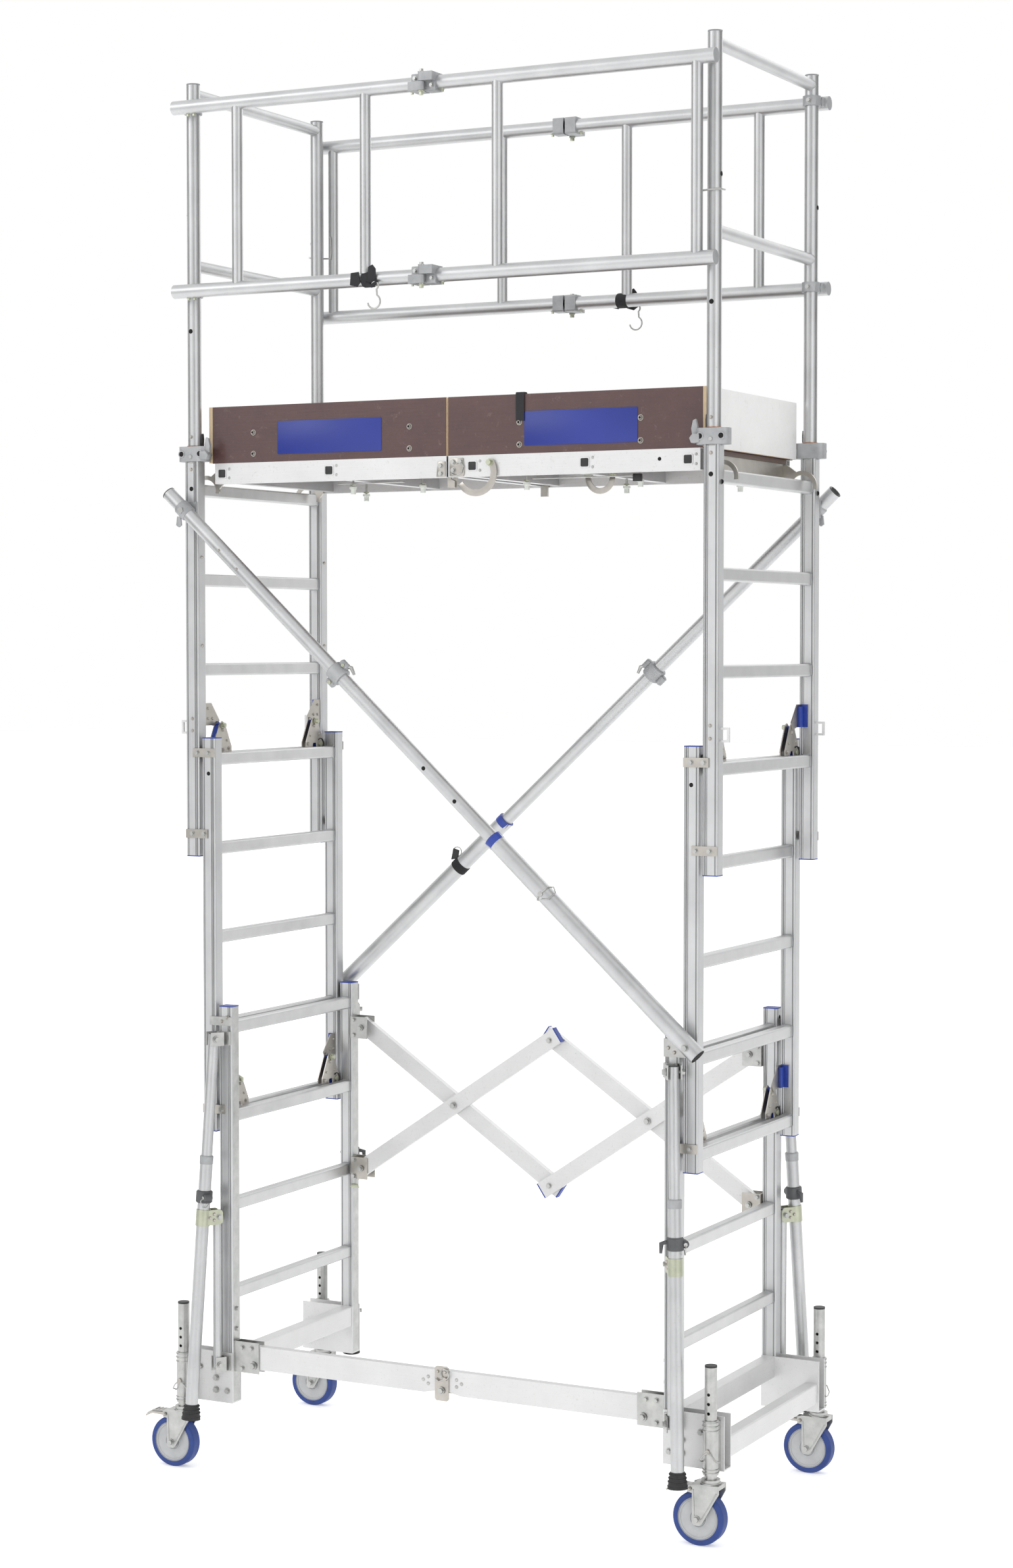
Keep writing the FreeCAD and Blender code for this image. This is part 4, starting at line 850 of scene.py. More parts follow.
def make_post_clamps():
    """Levers, recesses, handle strips and rings of the clamps at the feet of the posts; the recesses are
    near-black discs of painted shade.
    """
    for end, face, name, corner in corners():
        x, y = end * POST_X, face * STILE_Y
        clamp = Piece(corner + "_post_clamp", name + "_top", "cast", "recess_shade", "black", "copper", "zinc")
        for dx in (-31, 31):
            clamp.disc((x + dx, face * 373.6, 3002), Y * face, 11, 2.2, "cast", 20, 0.8)
            # Painted shade: a near-black disc on each boss stands for the shade in its recess.
            clamp.disc((x + dx, face * 375.4, 3002), Y * face, 7.5, 0.6, "recess_shade", 18, 0.2)
        clamp.disc((x, face * 373.6, 2994), Y * face, 6, 3.4, "zinc", 6, 0.5)
        inner = x - end * 44
        clamp.slab([(0, 0), (14, -3), (17, 16), (12, 38), (3, 42), (-2, 20)],
                   (inner, y - 5, 3008), X * -end, Z, 10 * -end, "cast", 1.5)
        clamp.slab([(-12, -12), (12, -14), (18, 0), (8, 12), (-12, 10)], (inner, y - 9, 2998),
                   X * -end, Z, 18 * -end, "cast", 2.0)
        clamp.disc((inner - end * 2, y - 12, 2999), -Y, 5, 3, "zinc", 6)
        clamp.disc((inner - end * 2, y + 12, 2999), Y, 5, 3, "zinc", 6)
        clamp.slab([(-5, 0), (5, 0), (6, 26), (3, 40), (-4, 40), (-6, 24)],
                   (x - end * 20.5, y + 5.5, 3022), Y * -1, Z, 5 * end, "black", 1.2)
        clamp.hoop((x, y, 3025.6), X, Y, 21.4, 1.3, "copper")
        clamp.hoop((x, y, 2977.8), X, Y, 23, 1.6, "zinc")
        clamp.done()


def make_deck_fittings(sizes):
    """Panels, rivets, plugs, hooks, webbing and the underside hardware of the deck."""
    for turn, wide, far in ((1, "left", "right"), (-1, "right", "left")):
        side = "front" if turn == 1 else "back"
        out = -Y * turn
        skin = -DECK_SKIN * turn

        def spot(x, z, y=skin):
            return (turn * x, y, z)

        for half, x0, x1, rivets in ((wide, -562, -214, (-645, -123)), (far, 244, 592, (228, 600))):
            body = half + "_deck_half"
            panel = Piece(side + "_" + half + "_toe_panel", body, "panel", "webbing")
            outline = [(x0 + 3, 2996), (x1 - 3, 2996), (x1, 2999), (x1, 3089), (x1 - 3, 3092), (x0 + 3, 3092),
                       (x0, 3089), (x0, 2999)]
            panel.slab([(turn * a, b) for a, b in outline], (0, skin, 0), X, Z,
                       sizes.panel_thickness * 1000 * turn, "panel", 0.3)
            if x0 > 0:
                strap = [(-4.2, 3066), (-5.0, 3142), (-2.0, 3145.5), (14, 3145.5), (17.5, 3142), (17, 3060),
                         (14.6, 3060), (14.8, 3140.4), (-1.6, 3141.0), (-1.8, 3066)]
                panel.slab([(turn * a, b) for a, b in strap], (turn * 219, skin, 0), Y, Z, 26 * turn,
                           "webbing", 0.5)
            panel.done()
            heads = [spot(x, z, skin) for x in rivets for z in (3062, 3000)]
            fasten(body, "rivet", 7.5, *heads, facing=out)
            # Painted shade: a near-black disc in the middle of each rivet head stands for its hole.
            fasten(body, "hole", 2.6, *[(a, b + out.y * 6.2, c) for a, b, c in heads], facing=out)
        plugs, more = [Piece(side + "_rail_plugs_" + half, half + "_deck_half", "pale_long", "black")
                       for half in (wide, far)]
        for x in (-753, -388, 80, 431, 742):
            piece = plugs if x < 0 else more
            square = [(-15, -12), (-12, -15), (12, -15), (15, -12), (15, 12), (12, 15), (-12, 15), (-15, 12)]
            piece.slab(square, (turn * x, skin, 2945), X, Z, 1.8 * turn, "pale_long", 0.5)
            inner = [(a * 0.78, b * 0.78) for a, b in square]
            piece.slab(inner, (turn * x, skin - turn * 1.7, 2945), X, Z, 1.3 * turn, "black", 0.5)
            half = wide if x < 0 else far
            fasten(half + "_deck_half", "screw", 4, spot(x + 24, 2932), spot(x + 24, 2958), facing=out)
        plugs.done()
        more.done()
        # Painted shade disc for a hole.
        fasten(far + "_deck_half", "hole", 4, spot(657, 2948), facing=out)
    hinge = Piece("deck_hinge_plate", "right_deck_half", "nickel", "zinc")
    hinge.slab([(8, 2917), (52, 2917), (56, 2925), (52, 2968), (8, 2968)], (0, -DECK_SKIN, 0), X, Z,
               3, "nickel", 0.8)
    hinge.tube([(14, -327, 2925), (30, -331, 2918), (48, -329, 2926), (54, -328, 2944), (46, -328, 2958),
                (30, -327, 2952)], 1.6, "zinc", 8)
    hinge.done()
    left = Piece("deck_hinge_leaf", "left_deck_half", "nickel")
    left.slab([(-34, 2917), (-6, 2917), (-6, 2960), (-30, 2960)], (0, -DECK_SKIN, 0), X, Z, 3, "nickel", 0.8)
    left.done()
    fasten("right_deck_half", "bolt", 6, (20, -325, 2958), (44, -325, 2958), (20, -325, 2934), facing=-Y)
    fasten("left_deck_half", "bolt", 6, (-20, -325, 2948), (-20, -325, 2926), facing=-Y)
    for label, x, y, z, big, small, start, stop in (("front", 95, -327, 2925, 66, 48, 35, -150),
                                                    ("middle", 402, -160, 2912, 46, 30, 0, -180)):
        hook = Piece("deck_hook_" + label, "right_deck_half", "nickel")
        outer = arc((0, 0, 0), X, Z, big, start, stop, 16)
        inside = arc((0, 0, 0), X, Z, small, stop, start, 16)
        hook.slab([(p.x, p.z) for p in outer + inside], (x, y, z), X, Z,
                  sizes.hook_plate * 1000, "nickel", 0.6)
        if label == "middle":
            hook.block((x + 26, y - 4, z), (x + 50, y + 6, z + 22), "nickel")
            hook.block((x - 50, y - 4, z), (x - 26, y + 6, z + 22), "nickel")
        hook.done()
    fasten("right_deck_half", "nut", 8, (140, -331, 2953), (364, -164, 2926), (440, -164, 2926), facing=-Y)
    under = {half: Piece("deck_underside_" + half, half + "_deck_half", "zinc", "black", "green_zinc")
             for half in ("left", "right")}
    for x, y in ((-350, -250), (-130, -230), (-520, 120), (210, -240), (380, 60), (560, -235), (700, 140)):
        half = "left" if x < 0 else "right"
        under[half].tube([(x, y, 2963), (x, y, 2896)], 3.2, "zinc", 10)
        under[half].disc((x, y, 2906), -Z, 9, 4, "green_zinc", 6)
        fasten(half + "_deck_half", "knob", 8, (x, y, 2896), facing=-Z)
    under["right"].block((745, -150, 2900), (795, -118, 2914), "black", 2)
    under["right"].block((548, -262, 2893), (572, -246, 2914), "black", 2)
    under["left"].slab([(-400, -6), (-180, -6), (-180, 6), (-400, 6)], (0, -250, 2908), X, Y, 3, "zinc")
    under["right"].slab([(230, -6), (540, -6), (540, 6), (230, 6)], (0, -240, 2908), X, Y, 3, "zinc")
    for piece in under.values():
        piece.done()


def make_guard_fittings():
    """Hinge bolts, brackets, lock hooks and the straps with their wire hooks."""
    for turn, side in ((1, "front"), (-1, "back")):
        fixed = "%s_guard_%s_half" % (side, "left" if turn == 1 else "right")
        loose = "%s_guard_%s_half" % (side, "right" if turn == 1 else "left")
        for z in GUARD_RAILS:
            for body, kind, radius, facing, spots in (
                    (loose, "bolt", 7, Z, ((-20, -436, 26),)),
                    (loose, "nut", 7, -Z, ((-20, -436, -27),)),
                    (fixed, "bolt", 5, -Y * turn, ((-47, -424, 12),)),
                    (loose, "bolt", 5, -Y * turn, ((6, -424, -10),)),
                    (fixed, "nut", 4.5, -Z, ((-68, -400, -20), (-795, -400, -20), (-815, -400, -20))),
                    (loose, "nut", 4.5, -Z, ((28, -400, -20),)),
                    (fixed, "bolt", 6, Y * turn, ((-830, -324, 0),)),
                    (fixed, "bolt", 5, X * turn, ((-804, -366, 0),))):
                fasten(body, kind, radius, *[(x * turn, y * turn, z + up) for x, y,
                                             up in spots], facing=facing)
            bracket = Piece("%s_guard_bracket_%d" % (side, z), fixed, "cast")
            for x in (-808, -852):
                bracket.slab([(-16, -13), (14, -13), (20, 0), (14, 13), (-16, 13)],
                             ((x - 2) * turn, -376 * turn, z), Y * turn, Z, 4 * turn, "cast", 0.8)
            bracket.done()
        lock = Piece(side + "_guard_lock_hook", loose, "zinc")
        z = 3655
        lock.tube([(turn * a, turn * b, c) for a, b, c in
                   ((800, -386, z), (800, -378, z), (806, -376, z), (848, -376, z + 2), (856, -373, z + 2),
                    (857, -362, z + 2), (857, -344, z + 3))], 2.6, "zinc", 10)
        lock.tube([(turn * a, turn * b, c) for a, b, c in
                   ((800, -380, z), (797, -379, z + 20), (798, -379, z + 60), (801, -378, z + 68))],
                  2.6, "zinc", 10)
        lock.done()
        x, y, z = -208 * turn, -GUARD_Y * turn, GUARD_RAILS[0]
        strap = Piece(side + "_guard_strap", fixed, "webbing", "zinc")
        strap.tube([(x - 17, y, z), (x - 14, y, z), (x + 14, y, z), (x + 17, y, z)],
                   [21, 22.6, 22.6, 21], "webbing", 28)
        strap.slab([(-13, 0), (13, 2), (17, -30), (8, -40), (-16, -34)],
                   (x - 34, y - 21 * turn, z + 18), X, Z, 3.2 * turn, "webbing", 0.8)
        strap.slab([(-15, 0), (13, 3), (12, 40), (2, 52), (-12, 46)], (x + 22, y - 22 * turn, z - 14), X, Z,
                   3.2 * turn, "webbing", 0.8)
        strap.tube([(x + 4, y - 24 * turn, z - 16), (x + 22, y - 26 * turn, z - 22),
                    (x + 40, y - 24 * turn, z - 10)], 5.5,
                   "webbing", 10)
        hook = arc((x + 33, y - 26 * turn, z - 22), X, Z, 11, 200, -60, 12)
        hook += arc((x + 30, y - 26 * turn, z - 66), X, Z, 20, 60, -170, 14)
        strap.tube(hook, 2.4, "zinc", 10)
        strap.done()


def make_brace_fittings(sizes):
    """Couplers, lever clamps, holes, pins and straps of the diagonal braces. The holes and the open tube
    mouths are near-black discs of painted shade.
    """
    along = Vector((1697, 0, -1554)).normalized()
    across = Vector((along.z, 0, -along.x)) * -1
    for turn, side in ((1, "front"), (-1, "back")):

        def at(x, away=0.0, toward=0.0):
            point = Vector((x, -405, 2886 - 0.91573 * (x + 885))) + across * away + Vector((0, -toward, 0))
            return Vector((point.x * turn, point.y * turn, point.z))

        def turned(v):
            return Vector((v.x * turn, v.y * turn, v.z))

        a, p = turned(along), turned(across)
        upper, lower = side + "_brace_upper_tube", side + "_brace_lower_tube"
        top = Piece(side + "_brace_coupler", upper, "cast", "zinc", "recess_shade", "black", "green_zinc")
        pivot = at(-830)
        top.sleeve(pivot, a, 20, 23.6, 21.5, "cast")
        top.disc(pivot + Y * -22 * turn, -Y * turn, 10, 5, "zinc", 6)
        top.slab([(-6, 0), (6, 0), (9, -26), (0, -32), (-9, -26)], pivot + p * -24 - Y * 3, X,
                 Z, 6, "cast", 1)
        # Painted shade: a near-black disc in the open mouth of the upper tube.
        top.disc(at(-885) - a * 2.4, -a, 15.5, 1.0, "recess_shade", 24, 0.3)
        top.hoop(at(-885) - a * 1.5, p, Y, 19.0, 1.8, "black")
        middle = at(-311)
        top.sleeve(middle, a, 22, 28, 25, "cast", 28)
        for way in (1, -1):
            lug = middle + p * 33 * way
            top.sleeve(lug, a, 15, 11, 7, "cast", 14)
            top.disc(lug + Y * -10 * turn, -Y * turn, 6, 4, "green_zinc", 6)
        top.tube([middle + p * 36 + a * 10, middle + p * 42 + a * 22, middle + p * 34 + a * 42],
                 [5, 6, 4], "zinc", 10)
        top.done()
        # The holes are near-black discs of painted shade.
        fasten(upper, "hole", 4.5, at(-22, toward=20), at(77, toward=20), facing=-Y * turn)
        fasten(upper, "rivet", 4, at(-700, toward=20), at(-640, toward=20), facing=-Y * turn)
        fasten(lower, "bolt", 8, at(785, toward=25), facing=-Y * turn)
        foot = Piece(side + "_brace_foot", lower, "recess_shade", "zinc", "black", "webbing")
        # Painted shade: a near-black disc in the open mouth of the lower tube.
        foot.disc(at(812) + a * 0.2, a, 22.4, 0.6, "recess_shade", 26, 0.2)
        pin = at(349)
        if turn == 1:
            foot.hoop(pin, p, Y, 27.2, 1.7, "zinc", 24)
            foot.tube([pin + p * 27 - Y * 6, pin + p * 36 + a * 10 - Y * 8, pin + p * 30 + a * 26 - Y * 10,
                       pin + p * 10 + a * 27 - Y * 27, pin - p * 8 + a * 12 - Y * 28],
                      sizes.pin_wire * 1000, "zinc", 8)
            foot.disc(pin - Y * 24.5, -Y, 7, 5, "zinc", 14)
        else:
            for step in range(-12, 13, 4):
                foot.hoop(pin + a * step, p, Y, 25.2, 2.2, "webbing", 28)
            foot.slab([(-14, 0), (10, 4), (14, 30), (-6, 36)], pin + p * 26 + a * 2 + Y * 2, X,
                      Z, 5, "black", 1)
            foot.hoop(pin + p * 40 - a * 20, X, Z, 15, 1.6, "zinc", 16)
        foot.done()


def leg_at(end, face, z):
    """Middle of a stabiliser leg at a height."""
    t = (1300 - z) / 1135
    return Vector((end * (739 + 45 * t), face * (402 + 65 * t), z))


def make_leg_fittings():
    """Caps, clamps, rivets, struts' caps and ribbed feet of the stabiliser legs."""
    for end, face, name, corner in corners():
        out = Vector((end * 45, face * 65, 0)).normalized()
        side = Vector((-out.y, out.x, 0))
        down = (leg_at(end, face, 165) - leg_at(end, face, 940)).normalized()
        upper, lower, strut = corner + "_leg_upper_tube", corner + "_leg_lower_tube", corner + "_leg_strut"
        cap = Piece(corner + "_leg_cap", upper, "black")
        cap.disc(leg_at(end, face, 1299), -down, 14.8, 2.4, "black", 24, 0.8)
        cap.done()
        kit = Piece(corner + "_leg_clamp", lower, "dark_cast", "zinc", "rubber", "cast")
        mouth = leg_at(end, face, 940)
        kit.tube([mouth - down * 3, mouth, mouth + down * 22], [17.4, 20.2, 19.4], "cast", 26)
        hold = leg_at(end, face, 822)
        kit.sleeve(hold, down, 18, 24.2, 21, "dark_cast")
        ear = hold + side * 26
        kit.sleeve(ear, out, 13, 11, 8, "dark_cast", 14)
        kit.disc(ear + out * 12, out, 6, 4, "zinc", 6)
        kit.tube([ear + out * 12 - down * 2, ear + out * 22 + down * 8, ear + out * 16 + down * 26,
                  ear + out * 4 + down * 30, ear - out * 6 + down * 18], 1.5, "zinc", 8)
        kit.tube([hold - side * 24 - down * 6, hold - side * 38 - down * 2,
                  hold - side * 40 + down * 24], [6, 7, 4],
                 "dark_cast", 12)
        for z, big in ((204, 23.5), (194, 25), (184, 26.5), (172, 27.6)):
            kit.hoop(leg_at(end, face, z), out, side, big - 1.2, 1.8, "rubber", 24)
        sole = leg_at(end, face, 166.8)
        kit.disc(sole, down, 27.5, 1.6, "rubber", 26, 0.4)
        kit.done()
        plate = leg_at(end, face, 760)
        for way in (1, -1):
            face_mid = plate + side * 18.5 * way
            fasten(lower, "rivet", 5, face_mid - out * 15, face_mid - out * 28 - Z * 8,
                   face_mid - out * 28 + Z * 10, facing=side * way)
            fasten(lower, "bolt", 7, face_mid - out * 44.6, facing=side * way)
            pivot = leg_at(end, face, 1286)
            fasten(name + "_base", "bolt", 8, pivot + side * 22.4 * way, facing=side * way)
            strut_x, strut_y = end * (739 - 7 * abs(out.x)), face * (402 - 7 * abs(out.y))
            fasten(name + "_base", "bolt", 7, Vector((strut_x, strut_y, 320)) + side * 18.9 * way,
                   facing=side * way)
        tip = Piece(corner + "_strut_caps", strut, "black")
        tip.disc((strut_x, strut_y, 774), Z, 13.3, 4, "black", 22, 1.2)
        tip.done()


def make_castor_fittings(sizes):
    """Socket rings, clip pins, hub rings, axle nuts and pedal treads of the castors."""
    for end, face, name, corner in corners():
        x, y = end * CASTOR_X, face * CASTOR_Y
        socket = Piece(corner + "_socket_rings", name + "_base", "zinc", "nickel")
        for z, big in ((203, 22.2), (212, 22.0), (318, 22.0), (330, 22.2), (341, 22.0)):
            socket.hoop((x, y, z), X, Y, big, 1.7, "zinc", 28)
        socket.disc((x, y + face * 21, 262), Y * face, 7, 6, "nickel", 14)
        socket.tube([(x, y + face * 26, 262), (x - 12, y + face * 29, 252), (x - 22, y + face * 26, 238),
                     (x - 24, y + face * 8, 230), (x - 23, y - face * 6, 230)],
                    sizes.pin_wire * 1000, "zinc", 8)
        socket.tube([(x, y + face * 26, 262), (x + 14, y + face * 28, 256), (x + 24, y + face * 22, 240),
                     (x + 26, y + face * 6, 232), (x + 24, y - face * 6, 231)],
                    sizes.pin_wire * 1000, "zinc", 8)
        socket.done()
        fork = Piece(corner + "_castor_race", corner + "_castor_fork", "zinc")
        fork.hoop((x, y, 174), X, Y, 27, 2.4, "zinc", 32, sides=10)
        for way in (1, -1):
            fork.tube([(x - 40, y + way * 27.2, 156), (x - 38, y + way * 27.4, 120),
                       (x - 37, y + way * 27.2, 80)], 1.6,
                      "zinc", 8)
            fork.tube([(x + 28, y + way * 27.2, 152), (x + 6, y + way * 27.4, 112),
                       (x - 16, y + way * 27.2, 76)], 1.6,
                      "zinc", 8)
        fork.done()
        for way in (1, -1):
            fasten(corner + "_castor_fork", "bolt", 8, (x - AXLE_BACK, y + way * 27.5, AXLE_Z),
                   facing=Y * way)
            wheel = Piece("%s_wheel_face_%s" % (corner, "ab"[way > 0]),
                          corner + "_castor_wheel", "hub", "tyre")
            for big, thick in ((54, 2.4), (24, 2.0)):
                wheel.hoop((x - AXLE_BACK, y + way * 16, AXLE_Z), X, Z, big, thick, "hub", 40)
            wheel.hoop((x - AXLE_BACK, y + way * 17.6, AXLE_Z), X, Z, 64.5, 1.6, "tyre", 48)
            wheel.done()
        pedal = Piece(corner + "_pedal_tread", corner + "_brake_pedal", "zinc", "nickel")
        pedal.slab([(-52, 160.4), (-100, 158.8), (-122, 147.2), (-123, 150.0), (-100, 163), (-56, 165)],
                   (x, y + 14, 0), X, Z, 28, "zinc", 0.8)
        for dx in (-70, -82, -94):
            pedal.tube([(x + dx, y - 12, 164.4), (x + dx, y + 12, 164.4)], 1.3, "nickel", 8)
        pedal.done()
        fasten(corner + "_brake_pedal", "rivet", 5, (x - 50, y - 30, 157), facing=-Y)
        fasten(corner + "_brake_pedal", "rivet", 5, (x - 50, y + 30, 157), facing=Y)


BAR_FASTENERS = (  # body at each end, kind, radius, way that it faces along Y, spots
    ("base", "bolt", 9, FRONT, ((632, -365, 318),)),
    ("base", "bolt", 6.5, FRONT, ((672, -362, 368), (672, -362, 306), (640, -362, 368),
                                  (686, 318, 1264), (686, 318, 1216))),
    ("base", "bolt", 7, FRONT, ((660, 313, SCISSOR_HIGH),)),
    ("scissor_slider", "bolt", 6.5, FRONT, ((686, 318, 820), (686, 318, 770))),
    ("scissor_slider", "bolt", 7, FRONT, ((660, 313, SCISSOR_LOW),)),
    ("scissor_falling_bar", "bolt", 8, FRONT, ((330, 318, SCISSOR_MIDDLE),)),
    ("scissor_falling_bar", "nut", 8, BACK, ((330, 369, SCISSOR_MIDDLE),)),
    ("fold_bar", "screw", 5, FRONT, ((46, -357, 352), (46, -357, 332), (62, -357, 342))),
)
MIDDLE_FASTENERS = (
    ("left_scissor_rising_bar", "bolt", 7, FRONT, ((0, 322, SCISSOR_HIGH),)),
    ("right_scissor_falling_bar", "bolt", 7, FRONT, ((0, 322, SCISSOR_LOW),)),
    ("left_scissor_falling_bar", "nut", 7, BACK, ((0, 365, SCISSOR_LOW),)),
    ("right_scissor_rising_bar", "nut", 7, BACK, ((0, 365, SCISSOR_HIGH),)),
    ("left_fold_bar", "bolt", 8, FRONT, ((0, -364, 318),)),
    ("left_fold_bar", "rivet", 5, FRONT, ((-12, -361.5, 372), (12, -361.5, 372), (-12, -361.5, 346))),
)


def make_base_fittings(sizes):
    """Bolts, pins and plates of the folding bar and the scissor bars."""
    for end, name in ENDS.items():
        for body, kind, radius, way, spots in BAR_FASTENERS:
            fasten(name + "_" + body, kind, radius, *[(end * x, y, z) for x, y, z in spots], facing=Y * way)
    for body, kind, radius, way, spots in MIDDLE_FASTENERS:
        fasten(body, kind, radius, *spots, facing=Y * way)
    pin = Piece("fold_bar_hairpin", "left_fold_bar", "zinc", "nickel")
    pin.disc((12, -361, 352), -Y, 6, 8, "nickel", 16)
    pin.hoop((12, -367, 366), X, Z, 14, sizes.pin_wire * 1000, "zinc", 18)
    pin.tube([(12, -367, 352), (-6, -368, 344), (-18, -367, 352)], sizes.pin_wire * 1000, "zinc", 8)
    pin.done()
    wing = Piece("slider_wing_pin", "left_scissor_slider", "zinc", "green_zinc")
    wing.tube([(-680, 317, 742), (-680, 317, 765)], 4, "zinc", 12)
    wing.slab([(-16, -8), (16, -8), (10, 4), (-10, 4)], (-680, 315, 742), X, Z, 4, "green_zinc", 1)
    wing.done()


# ---------------------------------------------------------------- add-on classes
class StageSettings(bpy.types.PropertyGroup):
    """Camera and light of the studio."""
    lens: bpy.props.FloatProperty(name="Lens", description="Focal length of the camera, in millimetres",
                                  default=68.23, min=10)
    camera_at: bpy.props.FloatVectorProperty(name="Camera place", description="Where the camera stands",
                                             default=(4.0594, -7.7236, 2.4427), subtype="XYZ", unit="LENGTH")
    camera_turn: bpy.props.FloatVectorProperty(name="Camera turn", description="How the camera is turned",
                                               default=(math.radians(87.317), 0, math.radians(27.383)),
                                               subtype="EULER")
    daylight: bpy.props.FloatProperty(name="Daylight",
                                      description="Strength of the even studio light", default=1.0)
    key_watts: bpy.props.FloatProperty(name="Key light",
                                       description="Power of the key light, in watts", default=140)


class FinishSettings(bpy.types.PropertyGroup):
    """Colours of the tower's finishes."""
    aluminium: bpy.props.FloatVectorProperty(name="Aluminium", description="Clean drawn aluminium",
                                             default=(0.71, 0.715, 0.72), subtype="COLOR", min=0, max=1)
    board: bpy.props.FloatVectorProperty(name="Board", description="Film on the toe boards",
                                         default=(0.110, 0.052, 0.050), subtype="COLOR", min=0, max=1)
    plastic: bpy.props.FloatVectorProperty(name="Plastic", description="Plugs, pads and caps of the ladders",
                                           default=(0.026, 0.062, 0.37), subtype="COLOR", min=0, max=1)
    panel: bpy.props.FloatVectorProperty(name="Panel", description="Plain panels on the toe boards",
                                         default=(0.018, 0.036, 0.28), subtype="COLOR", min=0, max=1)
    tyre: bpy.props.FloatVectorProperty(name="Tyre", description="Castor tyres", default=(0.022, 0.060, 0.27),
                                        subtype="COLOR", min=0, max=1)


class FittingSettings(bpy.types.PropertyGroup):
    """Sizes of the small hardware."""
    weld_bead: bpy.props.FloatProperty(name="Weld bead",
                                       description="Radius of the weld beads round the rungs",
                                       default=0.0021, min=0.0005, precision=4, unit="LENGTH")
    panel_thickness: bpy.props.FloatProperty(name="Panel thickness",
                                             description="Thickness of the toe board panels",
                                             default=0.0014, min=0.0005, precision=4, unit="LENGTH")
    hook_plate: bpy.props.FloatProperty(name="Hook plate",
                                        description="Thickness of the curved hooks of the deck",
                                        default=0.004, min=0.001, precision=4, unit="LENGTH")
    pin_wire: bpy.props.FloatProperty(name="Pin wire",
                                      description="Radius of the wire of hooks and clip pins",
                                      default=0.0018, min=0.0005, precision=4, unit="LENGTH")


class TOWER_OT_stage(bpy.types.Operator):
    """Put up the floor, the studio lights and the camera"""
    bl_idname = "tower.stage"
    bl_label = "Stage"

    def execute(self, context):
        make_stage(context.scene.tower_stage)
        return {"FINISHED"}


class TOWER_OT_finishes(bpy.types.Operator):
    """Mix every finish of the tower"""
    bl_idname = "tower.finishes"
    bl_label = "Finishes"

    def execute(self, context):
        finishes.update(make_finishes(context.scene.tower_finishes))
        return {"FINISHED"}


class TOWER_OT_ladders(bpy.types.Operator):
    """Finish the ladder sections and add their weld beads, bolts and rivets"""
    bl_idname = "tower.ladders"
    bl_label = "Ladder sections"

    def execute(self, context):
        paint_ladders()
        make_ladder_hardware(context.scene.tower_fittings)
        return {"FINISHED"}


class TOWER_OT_latches(bpy.types.Operator):
    """Add the pawls, pads and rivets of the rung latches"""
    bl_idname = "tower.latches"
    bl_label = "Rung latches"

    def execute(self, context):
        make_latch_hardware()
        return {"FINISHED"}


class TOWER_OT_post_clamps(bpy.types.Operator):
    """Add the cast clamps at the feet of the corner posts"""
    bl_idname = "tower.post_clamps"
    bl_label = "Post clamps"

    def execute(self, context):
        make_post_clamps()
        return {"FINISHED"}


class TOWER_OT_deck(bpy.types.Operator):
    """Finish the deck and its boards and add panels, plugs, hooks and underside parts"""
    bl_idname = "tower.deck"
    bl_label = "Deck"

    def execute(self, context):
        paint_deck()
        make_deck_fittings(context.scene.tower_fittings)
        return {"FINISHED"}


class TOWER_OT_guards(bpy.types.Operator):
    """Finish the guard frames and add their brackets, lock hooks and straps"""
    bl_idname = "tower.guards"
    bl_label = "Guard frames"

    def execute(self, context):
        paint_guards()
        make_guard_fittings()
        return {"FINISHED"}


class TOWER_OT_braces(bpy.types.Operator):
    """Finish the diagonal braces and add their couplers, clamps and pins"""
    bl_idname = "tower.braces"
    bl_label = "Braces"

    def execute(self, context):
        paint_braces()
        make_brace_fittings(context.scene.tower_fittings)
        return {"FINISHED"}


class TOWER_OT_legs(bpy.types.Operator):
    """Finish the stabiliser legs and add their caps, clamps and rubber feet"""
    bl_idname = "tower.legs"
    bl_label = "Stabiliser legs"

    def execute(self, context):
        paint_legs()
        make_leg_fittings()
        return {"FINISHED"}


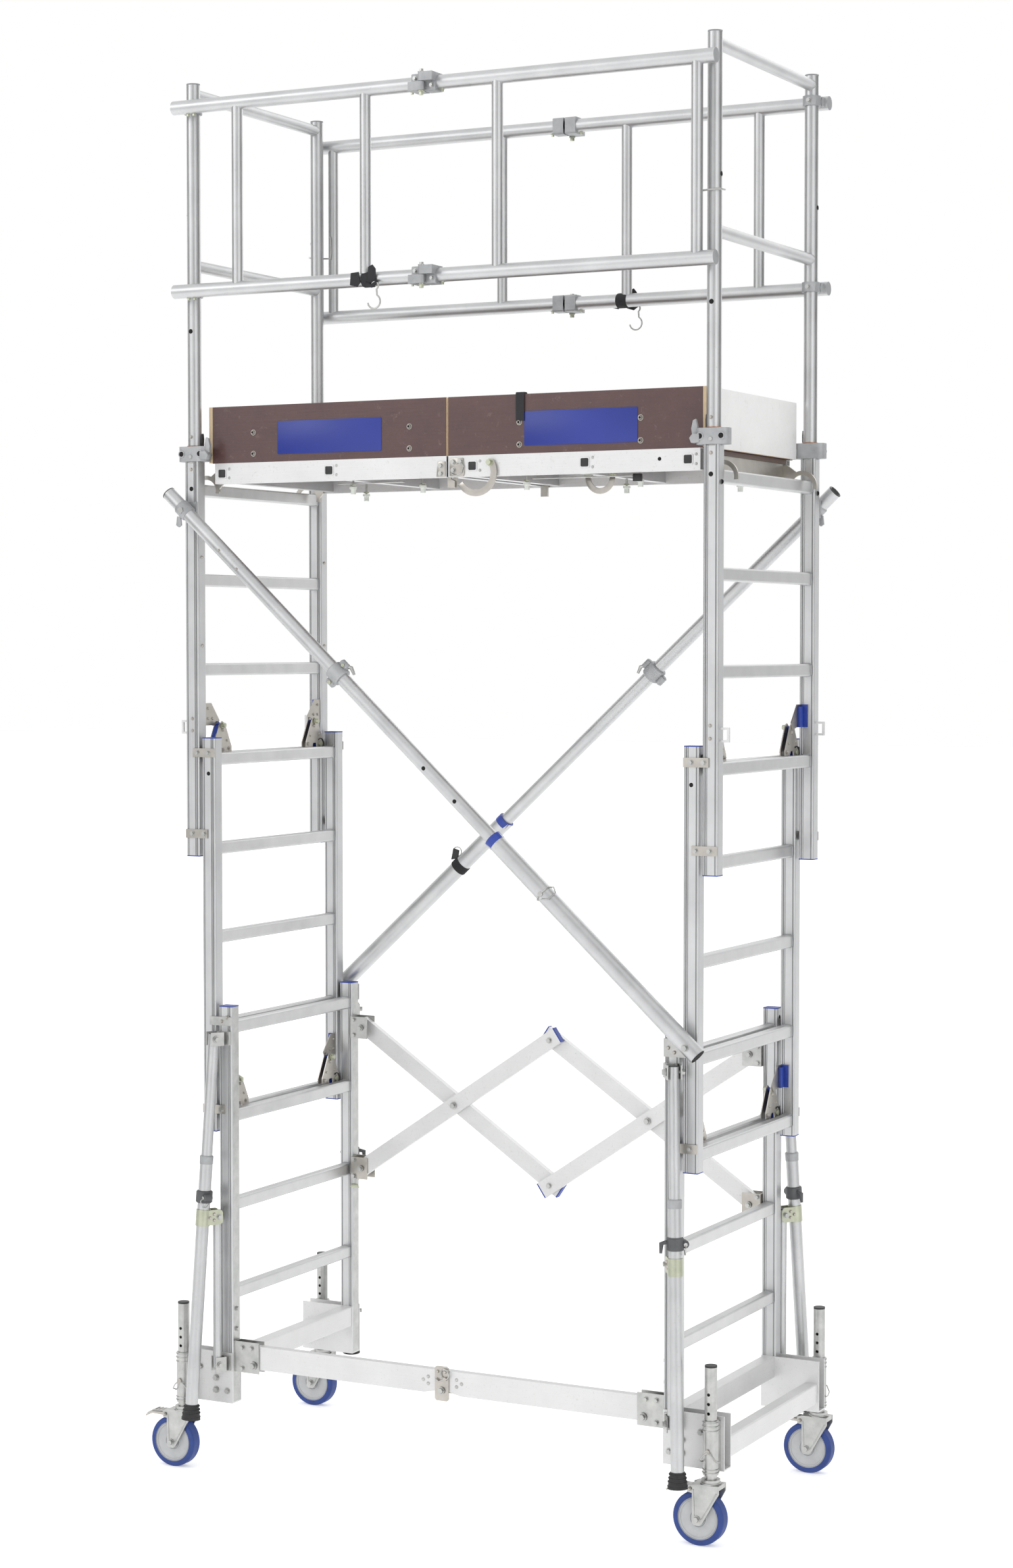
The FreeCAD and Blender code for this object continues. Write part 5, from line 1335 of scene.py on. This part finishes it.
class TOWER_OT_castors(bpy.types.Operator):
    """Finish the castors and add socket rings, clip pins and pedal treads"""
    bl_idname = "tower.castors"
    bl_label = "Castors"

    def execute(self, context):
        paint_castors()
        make_castor_fittings(context.scene.tower_fittings)
        return {"FINISHED"}


class TOWER_OT_base_bars(bpy.types.Operator):
    """Finish the folding bar and the scissor bars and add their pins and bolts"""
    bl_idname = "tower.base_bars"
    bl_label = "Folding base bars"

    def execute(self, context):
        paint_base_bars()
        make_base_fittings(context.scene.tower_fittings)
        return {"FINISHED"}


class TOWER_OT_fasteners(bpy.types.Operator):
    """Set every bolt, nut, rivet, screw and drilled hole on its body; the holes are discs of painted shade"""
    bl_idname = "tower.fasteners"
    bl_label = "Fasteners"

    def execute(self, context):
        make_fasteners()
        return {"FINISHED"}


OPERATORS = (TOWER_OT_stage, TOWER_OT_finishes, TOWER_OT_ladders, TOWER_OT_latches, TOWER_OT_post_clamps,
             TOWER_OT_deck, TOWER_OT_guards, TOWER_OT_braces, TOWER_OT_legs, TOWER_OT_castors,
             TOWER_OT_base_bars, TOWER_OT_fasteners)
SETTINGS = {"tower_stage": StageSettings, "tower_finishes": FinishSettings, "tower_fittings": FittingSettings}


class TOWER_PT_build(bpy.types.Panel):
    """Lists the steps that finish the tower, with their sizes and colours"""
    bl_label = "Mobile tower scaffold"
    bl_idname = "TOWER_PT_build"
    bl_space_type = "VIEW_3D"
    bl_region_type = "UI"
    bl_category = "Scaffold"

    def draw(self, context):
        for name, group in SETTINGS.items():
            box = self.layout.box()
            for prop in group.__annotations__:
                box.prop(getattr(context.scene, name), prop)
        for step in OPERATORS:
            self.layout.operator(step.bl_idname)


def register():
    for cls in (*SETTINGS.values(), *OPERATORS, TOWER_PT_build):
        bpy.utils.register_class(cls)
    for name, group in SETTINGS.items():
        setattr(bpy.types.Scene, name, bpy.props.PointerProperty(type=group))


def unregister():
    for name in SETTINGS:
        delattr(bpy.types.Scene, name)
    for cls in (TOWER_PT_build, *reversed(OPERATORS), *SETTINGS.values()):
        bpy.utils.unregister_class(cls)


def main():
    register()
    for step in OPERATORS:
        getattr(bpy.ops.tower, step.bl_idname.split(".")[1])()


if __name__ == "__main__":
    main()
